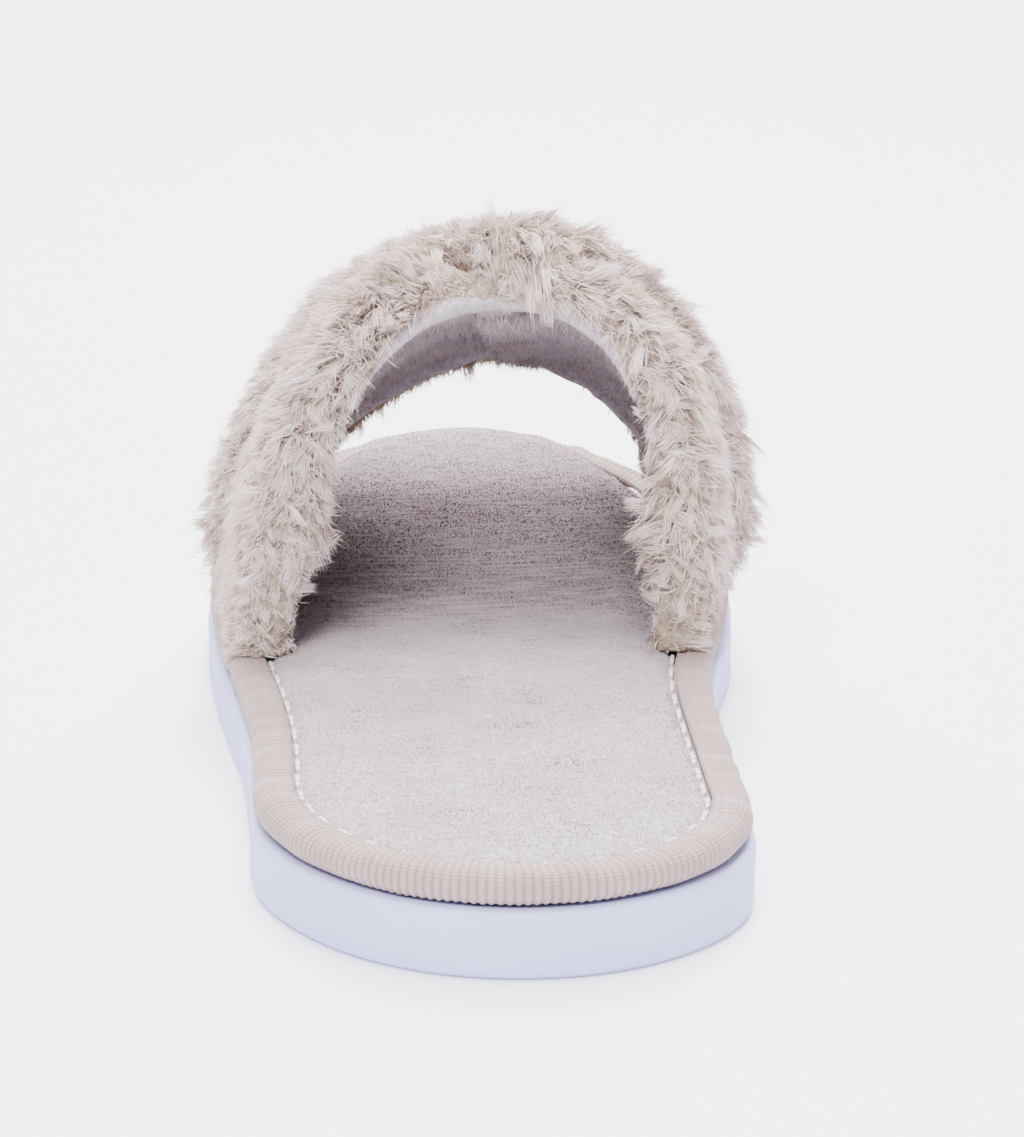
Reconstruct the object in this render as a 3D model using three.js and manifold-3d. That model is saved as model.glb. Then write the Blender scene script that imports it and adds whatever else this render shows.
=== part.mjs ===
// Fluffy open-toe house slipper for a left foot: a bound, padded insole on a foam outsole,
// with two faux-fur straps that cross over the instep.
// Millimetres. +Y runs from heel to toe, +X to the inner (big toe) side, +Z up.

import * as THREE from 'three';
import ManifoldModule from 'manifold-3d';

// ---------------------------------------------------------------- driving dimensions

const GAP = 0.3; // between pieces that touch

// outsole outline, heel tip at y = 0
const LENGTH = 256;
const HEEL_TIP_X = 2.5;
const HEEL_OUTER_HALF = 37.6;
const HEEL_INNER_HALF = 38;
const HEEL_OUTER_DEPTH = 52;
const HEEL_INNER_DEPTH = 40;
const WAIST_Y = 92;
const WAIST_INNER_HALF = 37.8;
const BALL_OUTER_HALF = 47.6;
const BALL_INNER_HALF = 47.8;
const BALL_OUTER_FROM_TOE = 66;
const BALL_INNER_FROM_TOE = 61;
const OUTER_FLOW = 0.42; // curve handles, as shares of the run between two widths
const INNER_FLOW = 0.44;
const WAIST_FLOW = 0.4;

// outsole section
const SOLE_HEIGHT = 10;
const SOLE_EDGE_ROUND = 1.2;
const SOLE_TOP_BREAK = 0.5;
const TOE_SPRING = 13.5;
const TOE_SPRING_LENGTH = 91;
const GROOVE_DEPTH = 2.5;
const GROOVE_WIDTH = 3;
const GROOVE_PITCH = 11;
const GROOVE_EDGE_MARGIN = 8;
const GROOVE_CHEVRON = 5; // how far each groove's middle lies ahead of its ends
const SHANK_HALF = 17; // smooth ground patch between heel and ball treads

// insole: board, foam, cover and the tape that binds their edge
const BOARD_THICK = 1.2;
const COVER_THICK = 1.1;
const FOAM_EDGE = 0.3; // the foam's least thickness
const INSOLE_EDGE_ROOM = 1.6; // from the binding's fold to the board's and the cover's edge
const TAPE_THICK = 0.8;
const TAPE_WIDTH = 6;
const TAPE_INSET = 0.6;
const TAPE_ROUND = 2.8; // how deep the roll of its fold is
const HEEL_CROWN = 1.6;
const TOE_CROWN = 8.4;
const CROWN_RAMP = 14;
const EDGE_RISE_RUN = 2.6; // over which the cover climbs to the binding's height
const CROWN_FROM_HEEL = 107.5; // the crown grows from here on
const CROWN_FROM_TOE = 20; // and is full from here to the toe
const STITCH_THICK = 0.6;
const STITCH_FROM_TAPE = 0.4;

// upper: two straps that cross
const CROSSING_FROM_TOE = 95;
const STRAP_SKEW = 20; // how far each strap's ends lie ahead of and behind the crossing
const STRAP_SPREAD = 0.75; // share of the way down a side at which the straps run parallel
const STRAP_HALF_TOP = 26;
const STRAP_HALF_BASE = 16.5;
const UPPER_LEAN = 5.5; // of the crown toward the inner side
const INSTEP_HEIGHT = 61.5; // strap core over the binding at the rear notch
const INSTEP_SLOPE = 0.337; // how fast the upper drops toward the toe
const REAR_LEG_ANGLE = 108; // degrees of arch from crown to base
const FRONT_LEG_ANGLE = 93;
const REAR_LEG_FROM_TAPE = 1.8; // strap core's base, inside the binding
const FRONT_LEG_FROM_TAPE = 3;
const LINING_THICK = 1.2;
const STRAP_FOAM_THICK = 1.6;
const SEAM_THICK = 0.9;
const FUR_THICK = 8;
const FUR_PRESSED = 1.6; // where the other strap lies on it
const FUR_OVERHANG = 6; // past a free edge
const FUR_TUCKED = 1.3; // past an edge that meets the other strap
const FUR_LIP = 4; // back over the lining at a free edge
const FUR_REAR_LIP_THICK = 7;
const FUR_FRONT_LIP_THICK = 3;
const INNER_LIFT = 0.4; // rise of the lip's foot over the crowned pad, per mm inward
const FUR_SIDE_GAP = 0.45; // from a strap's edge to the fur that wraps it
const FUR_BACK_GAP = 0.36; // from a strap's foam to the fur on it
const FUR_LEAST = 0.3; // the fur's thickness where its edge runs out
const WALL_STEP = 0.05; // each fold of the fur's edge leans out by this much
const PRESS_RUN = 8; // over which fur thins, or a strap climbs, at a crossing edge
const PRESS_ROOM = 0.8; // how far thinned fur runs on past the strap that presses it
const FREE_FROM = 0.12; // s at which an edge starts to be free, and at which it is
const FREE_FULL = 0.4;
const STAND_FROM = 0.7; // s from which a strap turns upright to stand on the insole

// mesh fineness
const AROUND = 72;
const STATIONS = 26;
const ACROSS = 7;

// ---------------------------------------------------------------- small helpers

const { clamp, lerp, degToRad } = THREE.MathUtils;

function smooth(from, to, value) {
  const t = clamp((value - from) / (to - from), 0, 1);
  return t * t * (3 - 2 * t);
}

function material(color, roughness) {
  return new THREE.MeshStandardMaterial({ color, roughness, metalness: 0 });
}

// One closed solid from rings of equal length. Without caps the last ring joins the first.
// A cap lists a ring's triangles, running the way the ring runs. Each quad is split along its
// shorter diagonal, which keeps parallel layers from cutting into each other.
function loft(rings, caps) {
  const count = rings[0].length;
  const points = rings.flat();
  const faces = [];
  const last = caps ? rings.length - 1 : rings.length;
  for (let r = 0; r < last; r += 1) {
    for (let k = 0; k < count; k += 1) {
      const [a, b] = [r * count + k, r * count + ((k + 1) % count)];
      const [c, d] = [a, b].map((i) => (i + count) % points.length);
      const straight = points[a].distanceTo(points[d]) <= points[b].distanceTo(points[c]);
      if (straight) faces.push(a, b, d, a, d, c);
      else faces.push(a, b, c, b, d, c);
    }
  }
  if (caps) {
    const end = last * count;
    for (const [i, j, k] of caps[0]) faces.push(i, k, j);
    for (const [i, j, k] of caps[1]) faces.push(end + i, end + j, end + k);
  }
  return facingOut(points, faces);
}

// The cap of a ring that starts at the heel: it is laced across, side to side.
function lacedCap(ring) {
  const faces = [];
  let i = 0;
  let j = ring.length - 1;
  while (j - i > 1) {
    if (ring[i + 1].y <= ring[j - 1].y) {
      faces.push([i, i + 1, j]);
      i += 1;
    } else {
      faces.push([i, j - 1, j]);
      j -= 1;
    }
  }
  return faces;
}

function sectionCap(section) {
  const clockwise = THREE.ShapeUtils.isClockWise(section);
  return THREE.ShapeUtils.triangulateShape([...section], []).map(([i, j, k]) => {
    const turned = THREE.ShapeUtils.area([section[i], section[j], section[k]]) < 0;
    return turned === clockwise ? [i, j, k] : [i, k, j];
  });
}

function facingOut(points, faces) {
  let volume = 0;
  for (let f = 0; f < faces.length; f += 3) {
    const [a, b, c] = [points[faces[f]], points[faces[f + 1]], points[faces[f + 2]]];
    volume += a.dot(new THREE.Vector3().crossVectors(b, c));
  }
  if (volume < 0) {
    for (let f = 0; f < faces.length; f += 3) {
      [faces[f + 1], faces[f + 2]] = [faces[f + 2], faces[f + 1]];
    }
  }
  const geometry = new THREE.BufferGeometry().setFromPoints(points);
  geometry.setIndex(faces);
  geometry.computeVertexNormals();
  return geometry;
}

// ---------------------------------------------------------------- outline

function soleOutline() {
  const K = 0.5523; // quarter-ellipse handle
  const outerBallY = LENGTH - BALL_OUTER_FROM_TOE;
  const innerBallY = LENGTH - BALL_INNER_FROM_TOE;
  const outerRun = OUTER_FLOW * (outerBallY - HEEL_OUTER_DEPTH);
  const innerRun = INNER_FLOW * (innerBallY - WAIST_Y);
  const waistRun = WAIST_FLOW * (WAIST_Y - HEEL_INNER_DEPTH);
  const shape = new THREE.Shape();
  shape.moveTo(HEEL_TIP_X, 0);
  shape.bezierCurveTo(
    lerp(HEEL_TIP_X, -HEEL_OUTER_HALF, K), 0,
    -HEEL_OUTER_HALF, (1 - K) * HEEL_OUTER_DEPTH,
    -HEEL_OUTER_HALF, HEEL_OUTER_DEPTH,
  );
  shape.bezierCurveTo(
    -HEEL_OUTER_HALF, HEEL_OUTER_DEPTH + outerRun,
    -BALL_OUTER_HALF, outerBallY - outerRun,
    -BALL_OUTER_HALF, outerBallY,
  );
  shape.bezierCurveTo(
    -BALL_OUTER_HALF, outerBallY + K * BALL_OUTER_FROM_TOE,
    -K * BALL_OUTER_HALF, LENGTH,
    0, LENGTH,
  );
  shape.bezierCurveTo(
    K * BALL_INNER_HALF, LENGTH,
    BALL_INNER_HALF, innerBallY + K * BALL_INNER_FROM_TOE,
    BALL_INNER_HALF, innerBallY,
  );
  shape.bezierCurveTo(
    BALL_INNER_HALF, innerBallY - innerRun,
    WAIST_INNER_HALF, WAIST_Y + innerRun,
    WAIST_INNER_HALF, WAIST_Y,
  );
  shape.bezierCurveTo(
    WAIST_INNER_HALF, WAIST_Y - waistRun,
    HEEL_INNER_HALF, HEEL_INNER_DEPTH + waistRun,
    HEEL_INNER_HALF, HEEL_INNER_DEPTH,
  );
  shape.bezierCurveTo(
    HEEL_INNER_HALF, (1 - K) * HEEL_INNER_DEPTH,
    lerp(HEEL_TIP_X, HEEL_INNER_HALF, K), 0,
    HEEL_TIP_X, 0,
  );
  return shape;
}

const outline = soleOutline().getSpacedPoints(AROUND).slice(0, AROUND);
const fineOutline = soleOutline().getSpacedPoints(8 * AROUND);
const toeIndex = fineOutline.reduce((best, p, i) => (p.y > fineOutline[best].y ? i : best), 0);

// The line that every inset of the outline closes in on.
const SPINE_PAST_HEEL = 6;
const SPINE_STOP = 0.97; // the share of the way to it that an inset may go
const SPINE_HEEL = HEEL_OUTER_DEPTH - SPINE_PAST_HEEL;
const SPINE_TOE = LENGTH - BALL_OUTER_FROM_TOE;
function spineOf(p) {
  return new THREE.Vector2(0, clamp(p.y, SPINE_HEEL, SPINE_TOE));
}

// x of the outline at y, on the outer side (-1) or the inner side (1).
function edgeX(y, side) {
  const from = side < 0 ? 0 : toeIndex;
  const to = side < 0 ? toeIndex : fineOutline.length - 1;
  for (let i = from; i < to; i += 1) {
    const [a, b] = [fineOutline[i], fineOutline[i + 1]];
    if ((y - a.y) * (y - b.y) <= 0 && a.y !== b.y) {
      return lerp(a.x, b.x, (y - a.y) / (b.y - a.y));
    }
  }
  return 0;
}

// ---------------------------------------------------------------- heights

function springAt(y) {
  const along = clamp((y - (LENGTH - TOE_SPRING_LENGTH)) / TOE_SPRING_LENGTH, 0, 2);
  return TOE_SPRING * along * along;
}

// heights over the outsole's rim
const TAPE_INNER_FLOOR = GAP + TAPE_THICK;
const PLATEAU = TAPE_INNER_FLOOR;
const BOARD_BOTTOM = TAPE_INNER_FLOOR + GAP;
const BOARD_TOP = BOARD_BOTTOM + BOARD_THICK;
const COVER_EDGE_BOTTOM = BOARD_TOP + GAP;
const COVER_EDGE_TOP = COVER_EDGE_BOTTOM + COVER_THICK;
const TAPE_INNER_TOP = COVER_EDGE_TOP + GAP;
const TAPE_TOP = TAPE_INNER_TOP + TAPE_THICK;
const TAPE_END = TAPE_INSET + TAPE_WIDTH;
const EDGE_RISE = TAPE_TOP - COVER_EDGE_TOP;

function crownAt(y) {
  return lerp(HEEL_CROWN, TOE_CROWN, smooth(CROWN_FROM_HEEL, LENGTH - CROWN_FROM_TOE, y));
}

function coverTop(inset, y) {
  const past = inset - TAPE_END - GAP;
  const rise = EDGE_RISE * smooth(0, EDGE_RISE_RUN, past);
  return COVER_EDGE_TOP + rise + crownAt(y) * smooth(0, CROWN_RAMP, past);
}

// ---------------------------------------------------------------- sole and insole

// Point k of the outline moved in by an inset, at a height over the ground line.
function solePoint(k, inset, height) {
  const p = outline[k].clone();
  const spine = spineOf(p);
  p.lerp(spine, Math.min(inset / p.distanceTo(spine), SPINE_STOP));
  return new THREE.Vector3(p.x, p.y, springAt(p.y) + height(inset, p.y));
}

// A ring for each entry of the profile: an inset, a share of the way on from it to the spine,
// and a height, which may be a function of inset and y.
function soleRings(profile) {
  return profile.map(({ inset, share = 0, height }) =>
    outline.map((p, k) => {
      const reach = p.distanceTo(spineOf(p));
      const rise = typeof height === 'function' ? height : () => height;
      return solePoint(k, lerp(inset, reach, share), rise);
    }),
  );
}

function soleSolid(profile) {
  const rings = soleRings(profile);
  return loft(rings, [lacedCap(rings[0]), lacedCap(rings[rings.length - 1])]);
}

// Insets past the binding that follow the crown, then shares of the way to the spine. Every
// layer has its rings at the same places, so that the layers stay parallel.
const PAD_INSETS = [1.2, EDGE_RISE_RUN, 0.35 * CROWN_RAMP, 0.6 * CROWN_RAMP, CROWN_RAMP];
const PAD_SHARES = [0.45, 0.94];

function overPad(height) {
  const crown = PAD_INSETS.map((past) => ({ inset: TAPE_END + GAP + past, height }));
  const middle = PAD_SHARES.map((share) => ({ inset: TAPE_END + GAP + CROWN_RAMP, share, height }));
  return [...crown, ...middle];
}

function outsoleBlank() {
  const top = SOLE_HEIGHT;
  return soleSolid([
    ...overPad(0).reverse(),
    { inset: SOLE_EDGE_ROUND, height: 0 },
    { inset: 0.3 * SOLE_EDGE_ROUND, height: 0.3 * SOLE_EDGE_ROUND },
    { inset: 0, height: SOLE_EDGE_ROUND },
    { inset: 0, height: top - SOLE_TOP_BREAK },
    { inset: SOLE_TOP_BREAK, height: top },
    { inset: TAPE_END + GAP, height: top },
    { inset: TAPE_END + 2 * GAP, height: top + PLATEAU },
    ...overPad(top + PLATEAU),
  ]);
}

// Chevron grooves under the heel and the ball, kept inside the rim.
function grooveSolids() {
  const solids = [];
  const middle = LENGTH / 2;
  for (let step = 1; step * GROOVE_PITCH < middle; step += 1) {
    for (const y of [middle - step * GROOVE_PITCH, middle + step * GROOVE_PITCH]) {
      if (Math.abs(y - middle) < SHANK_HALF) continue;
      const reach = Math.max(BALL_INNER_HALF, BALL_OUTER_HALF);
      const half = GROOVE_WIDTH / 2;
      const chevron = new THREE.Shape([
        new THREE.Vector2(-reach, y - half - GROOVE_CHEVRON),
        new THREE.Vector2(0, y - half),
        new THREE.Vector2(reach, y - half - GROOVE_CHEVRON),
        new THREE.Vector2(reach, y + half - GROOVE_CHEVRON),
        new THREE.Vector2(0, y + half),
        new THREE.Vector2(-reach, y + half - GROOVE_CHEVRON),
      ]);
      const bottom = springAt(y - half - GROOVE_CHEVRON) - GROOVE_DEPTH;
      const depth = springAt(y + half) + GROOVE_DEPTH - bottom;
      const groove = new THREE.ExtrudeGeometry(chevron, { depth, bevelEnabled: false });
      solids.push(groove.translate(0, 0, bottom));
    }
  }
  return solids;
}

const wasm = await ManifoldModule();
wasm.setup();

function toManifold(geometry) {
  return new wasm.Manifold(new wasm.Mesh(mergedByPlace(geometry)));
}

function mergedByPlace(geometry) {
  const at = geometry.getAttribute('position');
  const index = geometry.index ? geometry.index.array : [...Array(at.count).keys()];
  const known = new Map();
  const vertProperties = [];
  const triVerts = [];
  for (const i of index) {
    const key = [at.getX(i), at.getY(i), at.getZ(i)].map((v) => Math.round(v * 1e4)).join();
    if (!known.has(key)) {
      known.set(key, vertProperties.length / 3);
      vertProperties.push(at.getX(i), at.getY(i), at.getZ(i));
    }
    triVerts.push(known.get(key));
  }
  return {
    numProp: 3,
    vertProperties: new Float32Array(vertProperties),
    triVerts: new Uint32Array(triVerts),
  };
}

function fromManifold(solid) {
  const mesh = solid.getMesh();
  const geometry = new THREE.BufferGeometry();
  geometry.setAttribute('position', new THREE.BufferAttribute(mesh.vertProperties, 3));
  geometry.setIndex(new THREE.BufferAttribute(mesh.triVerts, 1));
  geometry.computeVertexNormals();
  return geometry;
}

function outsole() {
  const inside = soleSolid([
    { inset: GROOVE_EDGE_MARGIN, height: -GROOVE_DEPTH },
    { inset: GROOVE_EDGE_MARGIN, height: 2 * GROOVE_DEPTH },
  ]);
  const grooves = wasm.Manifold.union(grooveSolids().map(toManifold));
  return fromManifold(toManifold(outsoleBlank()).subtract(grooves.intersect(toManifold(inside))));
}

function insoleBoard() {
  const inset = TAPE_INSET + TAPE_THICK + INSOLE_EDGE_ROOM;
  const rise = SOLE_HEIGHT;
  return soleSolid([
    ...overPad(rise + BOARD_BOTTOM).reverse(),
    { inset, height: rise + BOARD_BOTTOM },
    { inset, height: rise + BOARD_TOP },
    ...overPad(rise + BOARD_TOP),
  ]);
}

function footbedCover() {
  const top = (inset, y) => SOLE_HEIGHT + coverTop(inset, y);
  const bottom = (inset, y) => top(inset, y) - COVER_THICK;
  const edge = TAPE_INSET + TAPE_THICK + INSOLE_EDGE_ROOM;
  const rim = [edge, TAPE_END + GAP];
  return soleSolid([
    ...overPad(bottom).reverse(),
    ...[...rim].reverse().map((inset) => ({ inset, height: bottom })),
    ...rim.map((inset) => ({ inset, height: top })),
    ...overPad(top),
  ]);
}

function foamPad() {
  const floor = SOLE_HEIGHT + BOARD_TOP + GAP;
  const top = (inset, y) => SOLE_HEIGHT + coverTop(inset, y) - COVER_THICK - GAP;
  const outer = (foamTop) => overPad(foamTop).slice(1);
  const padTop = (inset, y) => Math.max(top(inset, y), floor + FOAM_EDGE);
  return soleSolid([...outer(floor).reverse(), ...outer(padTop)]);
}

function edgeBinding() {
  const middle = (GAP + TAPE_TOP) / 2;
  const BENDS = 6;
  const arc = (grow, reverse) => {
    const ring = [];
    for (let i = 0; i <= BENDS; i += 1) {
      const turn = Math.PI * (0.5 + i / BENDS);
      ring.push({
        inset: TAPE_INSET + TAPE_ROUND + (TAPE_ROUND - grow) * Math.cos(turn),
        height: SOLE_HEIGHT + middle + (TAPE_TOP - middle - grow) * Math.sin(turn),
      });
    }
    return reverse ? ring.reverse() : ring;
  };
  const flap = (height) => ({ inset: TAPE_END, height: SOLE_HEIGHT + height });
  return loft(
    soleRings([
      flap(TAPE_TOP), ...arc(0, false), flap(GAP),
      flap(TAPE_INNER_FLOOR), ...arc(TAPE_THICK, true), flap(TAPE_INNER_TOP),
    ]),
  );
}

function footbedStitching() {
  const inset = TAPE_END + STITCH_FROM_TAPE;
  const floor = (i, y) => SOLE_HEIGHT + coverTop(inset + STITCH_THICK, y) + GAP;
  const top = (i, y) => floor(i, y) + STITCH_THICK;
  return loft(
    soleRings([
      { inset, height: floor },
      { inset: inset + STITCH_THICK, height: floor },
      { inset: inset + STITCH_THICK, height: top },
      { inset, height: top },
    ]),
  );
}

// ---------------------------------------------------------------- upper

const CROSSING_Y = LENGTH - CROSSING_FROM_TOE;
const NOTCH_Y = CROSSING_Y - STRAP_HALF_TOP;
const RIM = SOLE_HEIGHT + TAPE_TOP;

// Layers of a strap, measured out from the middle of its core.
const FOAM_IN = -STRAP_FOAM_THICK / 2;
const FOAM_OUT = STRAP_FOAM_THICK / 2;
const LINING_OUT = FOAM_IN - GAP;
const LINING_IN = LINING_OUT - LINING_THICK;
const FUR_IN = FOAM_OUT + FUR_BACK_GAP;
const CROSS_LIFT = FUR_IN + FUR_PRESSED + 2 * GAP - LINING_IN;

// The straps are mirror twins, so each is described by the side where it is the rear one.
const OVER = { rear: 1, lifted: true };
const UNDER = { rear: -1, lifted: false };

function centreY(strap, s) {
  const spread = Math.sin((Math.PI / 2) * clamp(s / STRAP_SPREAD, -1, 1));
  return CROSSING_Y - strap.rear * STRAP_SKEW * spread;
}
const halfWidth = (s) => lerp(STRAP_HALF_TOP, STRAP_HALF_BASE, s * s);
const isRearAt = (strap, s) => strap.rear * s; // over 0 on the side where the strap is the rear one

// The arch that both straps lie on: s is -1 at the outer base, 0 on top and 1 at the inner base.
function archPoint(y, s) {
  const turn = smooth(CROSSING_Y - 2 * STRAP_SKEW, CROSSING_Y + 2 * STRAP_SKEW, y);
  const inset = TAPE_END + lerp(REAR_LEG_FROM_TAPE, FRONT_LEG_FROM_TAPE, turn);
  const left = edgeX(y, -1) + inset;
  const right = edgeX(y, 1) - inset;
  const leg = degToRad(lerp(REAR_LEG_ANGLE, FRONT_LEG_ANGLE, turn));
  const base = springAt(y) + RIM;
  const crown = RIM + INSTEP_HEIGHT - INSTEP_SLOPE * (y - NOTCH_Y);
  const rise = (crown - base) / (1 - Math.cos(leg));
  const reach = (right - left) / 2 / Math.sin(leg);
  const z = crown - rise + rise * Math.cos(s * leg);
  const lean = (UPPER_LEAN * (z - base)) / (crown - base);
  return new THREE.Vector3((left + right) / 2 + reach * Math.sin(s * leg) + lean, y, z);
}

function archNormal(y, s) {
  const step = 0.01;
  const along = archPoint(y, s + step).sub(archPoint(y, s - step));
  const forward = archPoint(y + step, s).sub(archPoint(y - step, s));
  const normal = along.cross(forward).normalize();
  const flat = new THREE.Vector3(Math.sign(s), 0, 0);
  return normal.lerp(flat, smooth(STAND_FROM, 1, Math.abs(s))).normalize();
}

// The top of the insole or its binding at a place, for the straps to stand on.
function floorAt(x, y) {
  const inset = Math.abs(edgeX(y, Math.sign(x)) - x);
  return springAt(y) + SOLE_HEIGHT + Math.max(TAPE_TOP, coverTop(inset, y));
}

// How far the upper strap is pushed out by the lower one under it.
function liftAt(strap, s, y) {
  if (!strap.lifted) return 0;
  const apart = Math.abs(y - centreY(UNDER, s)) - halfWidth(s);
  const margin = lerp(FUR_OVERHANG, FUR_TUCKED, smooth(FREE_FROM, FREE_FULL, Math.abs(s)));
  return CROSS_LIFT * smooth(margin + PRESS_RUN, margin, apart);
}

// The fur's thickness, pressed thin where the upper strap's fur lies on it.
function furAt(strap, s, y) {
  if (strap.lifted) return FUR_THICK;
  const apart = Math.abs(y - centreY(OVER, s)) - halfWidth(s);
  const margin = overhang(OVER, s, y > centreY(OVER, s) ? 1 : -1) + PRESS_ROOM;
  return lerp(FUR_PRESSED, FUR_THICK, smooth(margin, margin + PRESS_RUN, apart));
}

// An edge (1 front, -1 rear) is free on the side where no strap lies beyond it.
function freedom(strap, s, edge) {
  return smooth(FREE_FROM, FREE_FULL, -edge * isRearAt(strap, s));
}

function overhang(strap, s, edge) {
  if (!strap.lifted) return lerp(FUR_TUCKED, FUR_OVERHANG, freedom(strap, s, edge));
  const beside = smooth(STRAP_SPREAD, 1, edge * isRearAt(strap, s));
  return lerp(FUR_OVERHANG, FUR_TUCKED, beside);
}

function strapPoint(strap, s, y, out) {
  const p = archPoint(y, s).addScaledVector(archNormal(y, s), out + liftAt(strap, s, y));
  const standing = smooth(STAND_FROM, 1, Math.abs(s));
  const inward = Math.max(0, LINING_IN - out);
  p.z += standing * (floorAt(p.x, p.y) + GAP - springAt(y) - RIM + inward * INNER_LIFT);
  return p;
}

// A solid along a strap. section(s) gives [offset from the centre line, distance out] pairs.
function strapSolid(strap, section) {
  const rings = [];
  const caps = [];
  for (let i = 0; i <= STATIONS; i += 1) {
    const s = lerp(-1, 1, i / STATIONS);
    const points = section(s);
    rings.push(points.map(([u, out]) => strapPoint(strap, s, centreY(strap, s) + u, out)));
    if (i === 0 || i === STATIONS) {
      caps.push(sectionCap(points.map(([u, out]) => new THREE.Vector2(u, out))));
    }
  }
  return loft(rings, caps);
}

// Every layer has its points at the same offsets, so that the layers stay parallel. The lining
// stops short of the strap's edges, where the seams run.
const SEAM_ROOM = SEAM_THICK + 2 * GAP;
function offsets(half) {
  const inner = [];
  for (let i = 1; i < ACROSS; i += 1) inner.push(lerp(-half, half, i / ACROSS));
  return [-half, SEAM_ROOM - half, ...inner, half - SEAM_ROOM, half];
}

function flatSection(across, inner, outer) {
  return [...across.map((u) => [u, inner]), ...across.map((u) => [u, outer]).reverse()];
}

function strapLining(strap) {
  return strapSolid(strap, (s) =>
    flatSection(offsets(halfWidth(s)).slice(1, -1), LINING_IN, LINING_OUT));
}

function strapFoam(strap) {
  return strapSolid(strap, (s) => flatSection(offsets(halfWidth(s)), FOAM_IN, FOAM_OUT));
}

function strapSeam(strap, edge) {
  return strapSolid(strap, (s) => {
    const outer = edge * (halfWidth(s) - GAP);
    const inner = outer - edge * SEAM_THICK;
    const square = [[inner, LINING_OUT - SEAM_THICK], [outer, LINING_OUT - SEAM_THICK]];
    return [...square, [outer, LINING_OUT], [inner, LINING_OUT]];
  });
}

// The fur's edge from the contact face round to the outer face, wrapped over a free edge.
function furEdge(strap, s, edge) {
  const half = halfWidth(s);
  const wrap = freedom(strap, s, edge); // the wall goes down first, then the lip reaches in
  const over = overhang(strap, s, edge);
  const thick = furAt(strap, s, centreY(strap, s) + edge * (half + over));
  const wall = half + FUR_SIDE_GAP;
  const lipTop = lerp(FUR_IN, LINING_IN - GAP, smooth(0, 0.5, wrap));
  const lipEnd = lipTop - lerp(FUR_LEAST, edge < 0 ? FUR_REAR_LIP_THICK : FUR_FRONT_LIP_THICK, wrap);
  const reach = FUR_LIP * smooth(0.5, 1, wrap);
  return [
    [wall, FUR_IN],
    [wall + WALL_STEP, lipTop - 2 * WALL_STEP],
    [wall + 2 * WALL_STEP - reach, lipTop - 4 * WALL_STEP],
    [wall + 3 * WALL_STEP - reach, lipEnd - 2 * WALL_STEP],
    [wall + 0.4 * (over - GAP), lipEnd - 6 * WALL_STEP],
    [half + over, lerp(FUR_IN + FUR_LEAST, LINING_IN, wrap)],
    [half + 0.9 * over, FUR_IN + 0.55 * thick],
    [half - 1, FUR_IN + 0.92 * furAt(strap, s, centreY(strap, s) + edge * half)],
  ].map(([u, out]) => [edge * u, out]);
}

function strapFur(strap) {
  return strapSolid(strap, (s) => {
    const across = offsets(halfWidth(s));
    const contact = across.map((u) => [u, FUR_IN]);
    const outer = across.slice(2, -2).reverse();
    const pile = outer.map((u) => [u, FUR_IN + furAt(strap, s, centreY(strap, s) + u)]);
    return [...contact, ...furEdge(strap, s, 1), ...pile, ...furEdge(strap, s, -1).reverse()];
  });
}

// ---------------------------------------------------------------- assembly

const slipper = new THREE.Group();
slipper.name = 'house_slipper';
slipper.position.y = -LENGTH / 2;

function add(name, geometry, look) {
  const mesh = new THREE.Mesh(geometry, look);
  mesh.name = name;
  slipper.add(mesh);
}

const foamWhite = material(0xe6e4f0, 0.55);
const boardBrown = material(0xb59a78, 0.9);
const foamCream = material(0xefe6c8, 0.95);
const velour = material(0xd1c8c8, 0.98);
const ribbedTape = material(0xc9bdb8, 0.9);
const thread = material(0xece6de, 0.8);
const plush = material(0xa79c9c, 0.98);
const fur = material(0xd8cec4, 1);

add('outsole', outsole(), foamWhite);
add('insole_board', insoleBoard(), boardBrown);
add('insole_foam', foamPad(), foamCream);
add('footbed_cover', footbedCover(), velour);
add('edge_binding', edgeBinding(), ribbedTape);
add('footbed_stitching', footbedStitching(), thread);

for (const [name, strap] of [['over_strap', OVER], ['under_strap', UNDER]]) {
  add(`${name}_fur`, strapFur(strap), fur);
  add(`${name}_foam`, strapFoam(strap), foamCream);
  add(`${name}_lining`, strapLining(strap), plush);
  add(`${name}_rear_seam`, strapSeam(strap, -1), thread);
  add(`${name}_front_seam`, strapSeam(strap, 1), thread);
}

export default slipper;
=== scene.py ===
import math

import bpy
import numpy as np
from mathutils import Euler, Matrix
from mathutils.kdtree import KDTree


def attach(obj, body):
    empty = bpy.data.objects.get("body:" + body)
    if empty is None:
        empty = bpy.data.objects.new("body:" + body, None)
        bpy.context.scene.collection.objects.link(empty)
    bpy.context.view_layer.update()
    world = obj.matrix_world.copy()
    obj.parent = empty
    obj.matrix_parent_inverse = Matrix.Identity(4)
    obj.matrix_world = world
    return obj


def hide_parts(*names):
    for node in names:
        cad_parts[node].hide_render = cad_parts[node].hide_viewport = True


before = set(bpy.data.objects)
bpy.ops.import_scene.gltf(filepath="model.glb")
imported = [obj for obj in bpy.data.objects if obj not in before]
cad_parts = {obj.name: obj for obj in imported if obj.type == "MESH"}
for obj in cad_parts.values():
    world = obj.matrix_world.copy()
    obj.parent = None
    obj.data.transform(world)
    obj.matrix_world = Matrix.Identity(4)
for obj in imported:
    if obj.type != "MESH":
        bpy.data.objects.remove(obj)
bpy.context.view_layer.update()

# ---------------------------------------------------------------- camera, world and lights

LENS = 130.7
CAMERA_AT = (-0.0230, -0.6775, 0.190)
CAMERA_TURN = (math.radians(76.65), 0.0, -math.atan2(0.0419, 0.9991))

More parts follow.
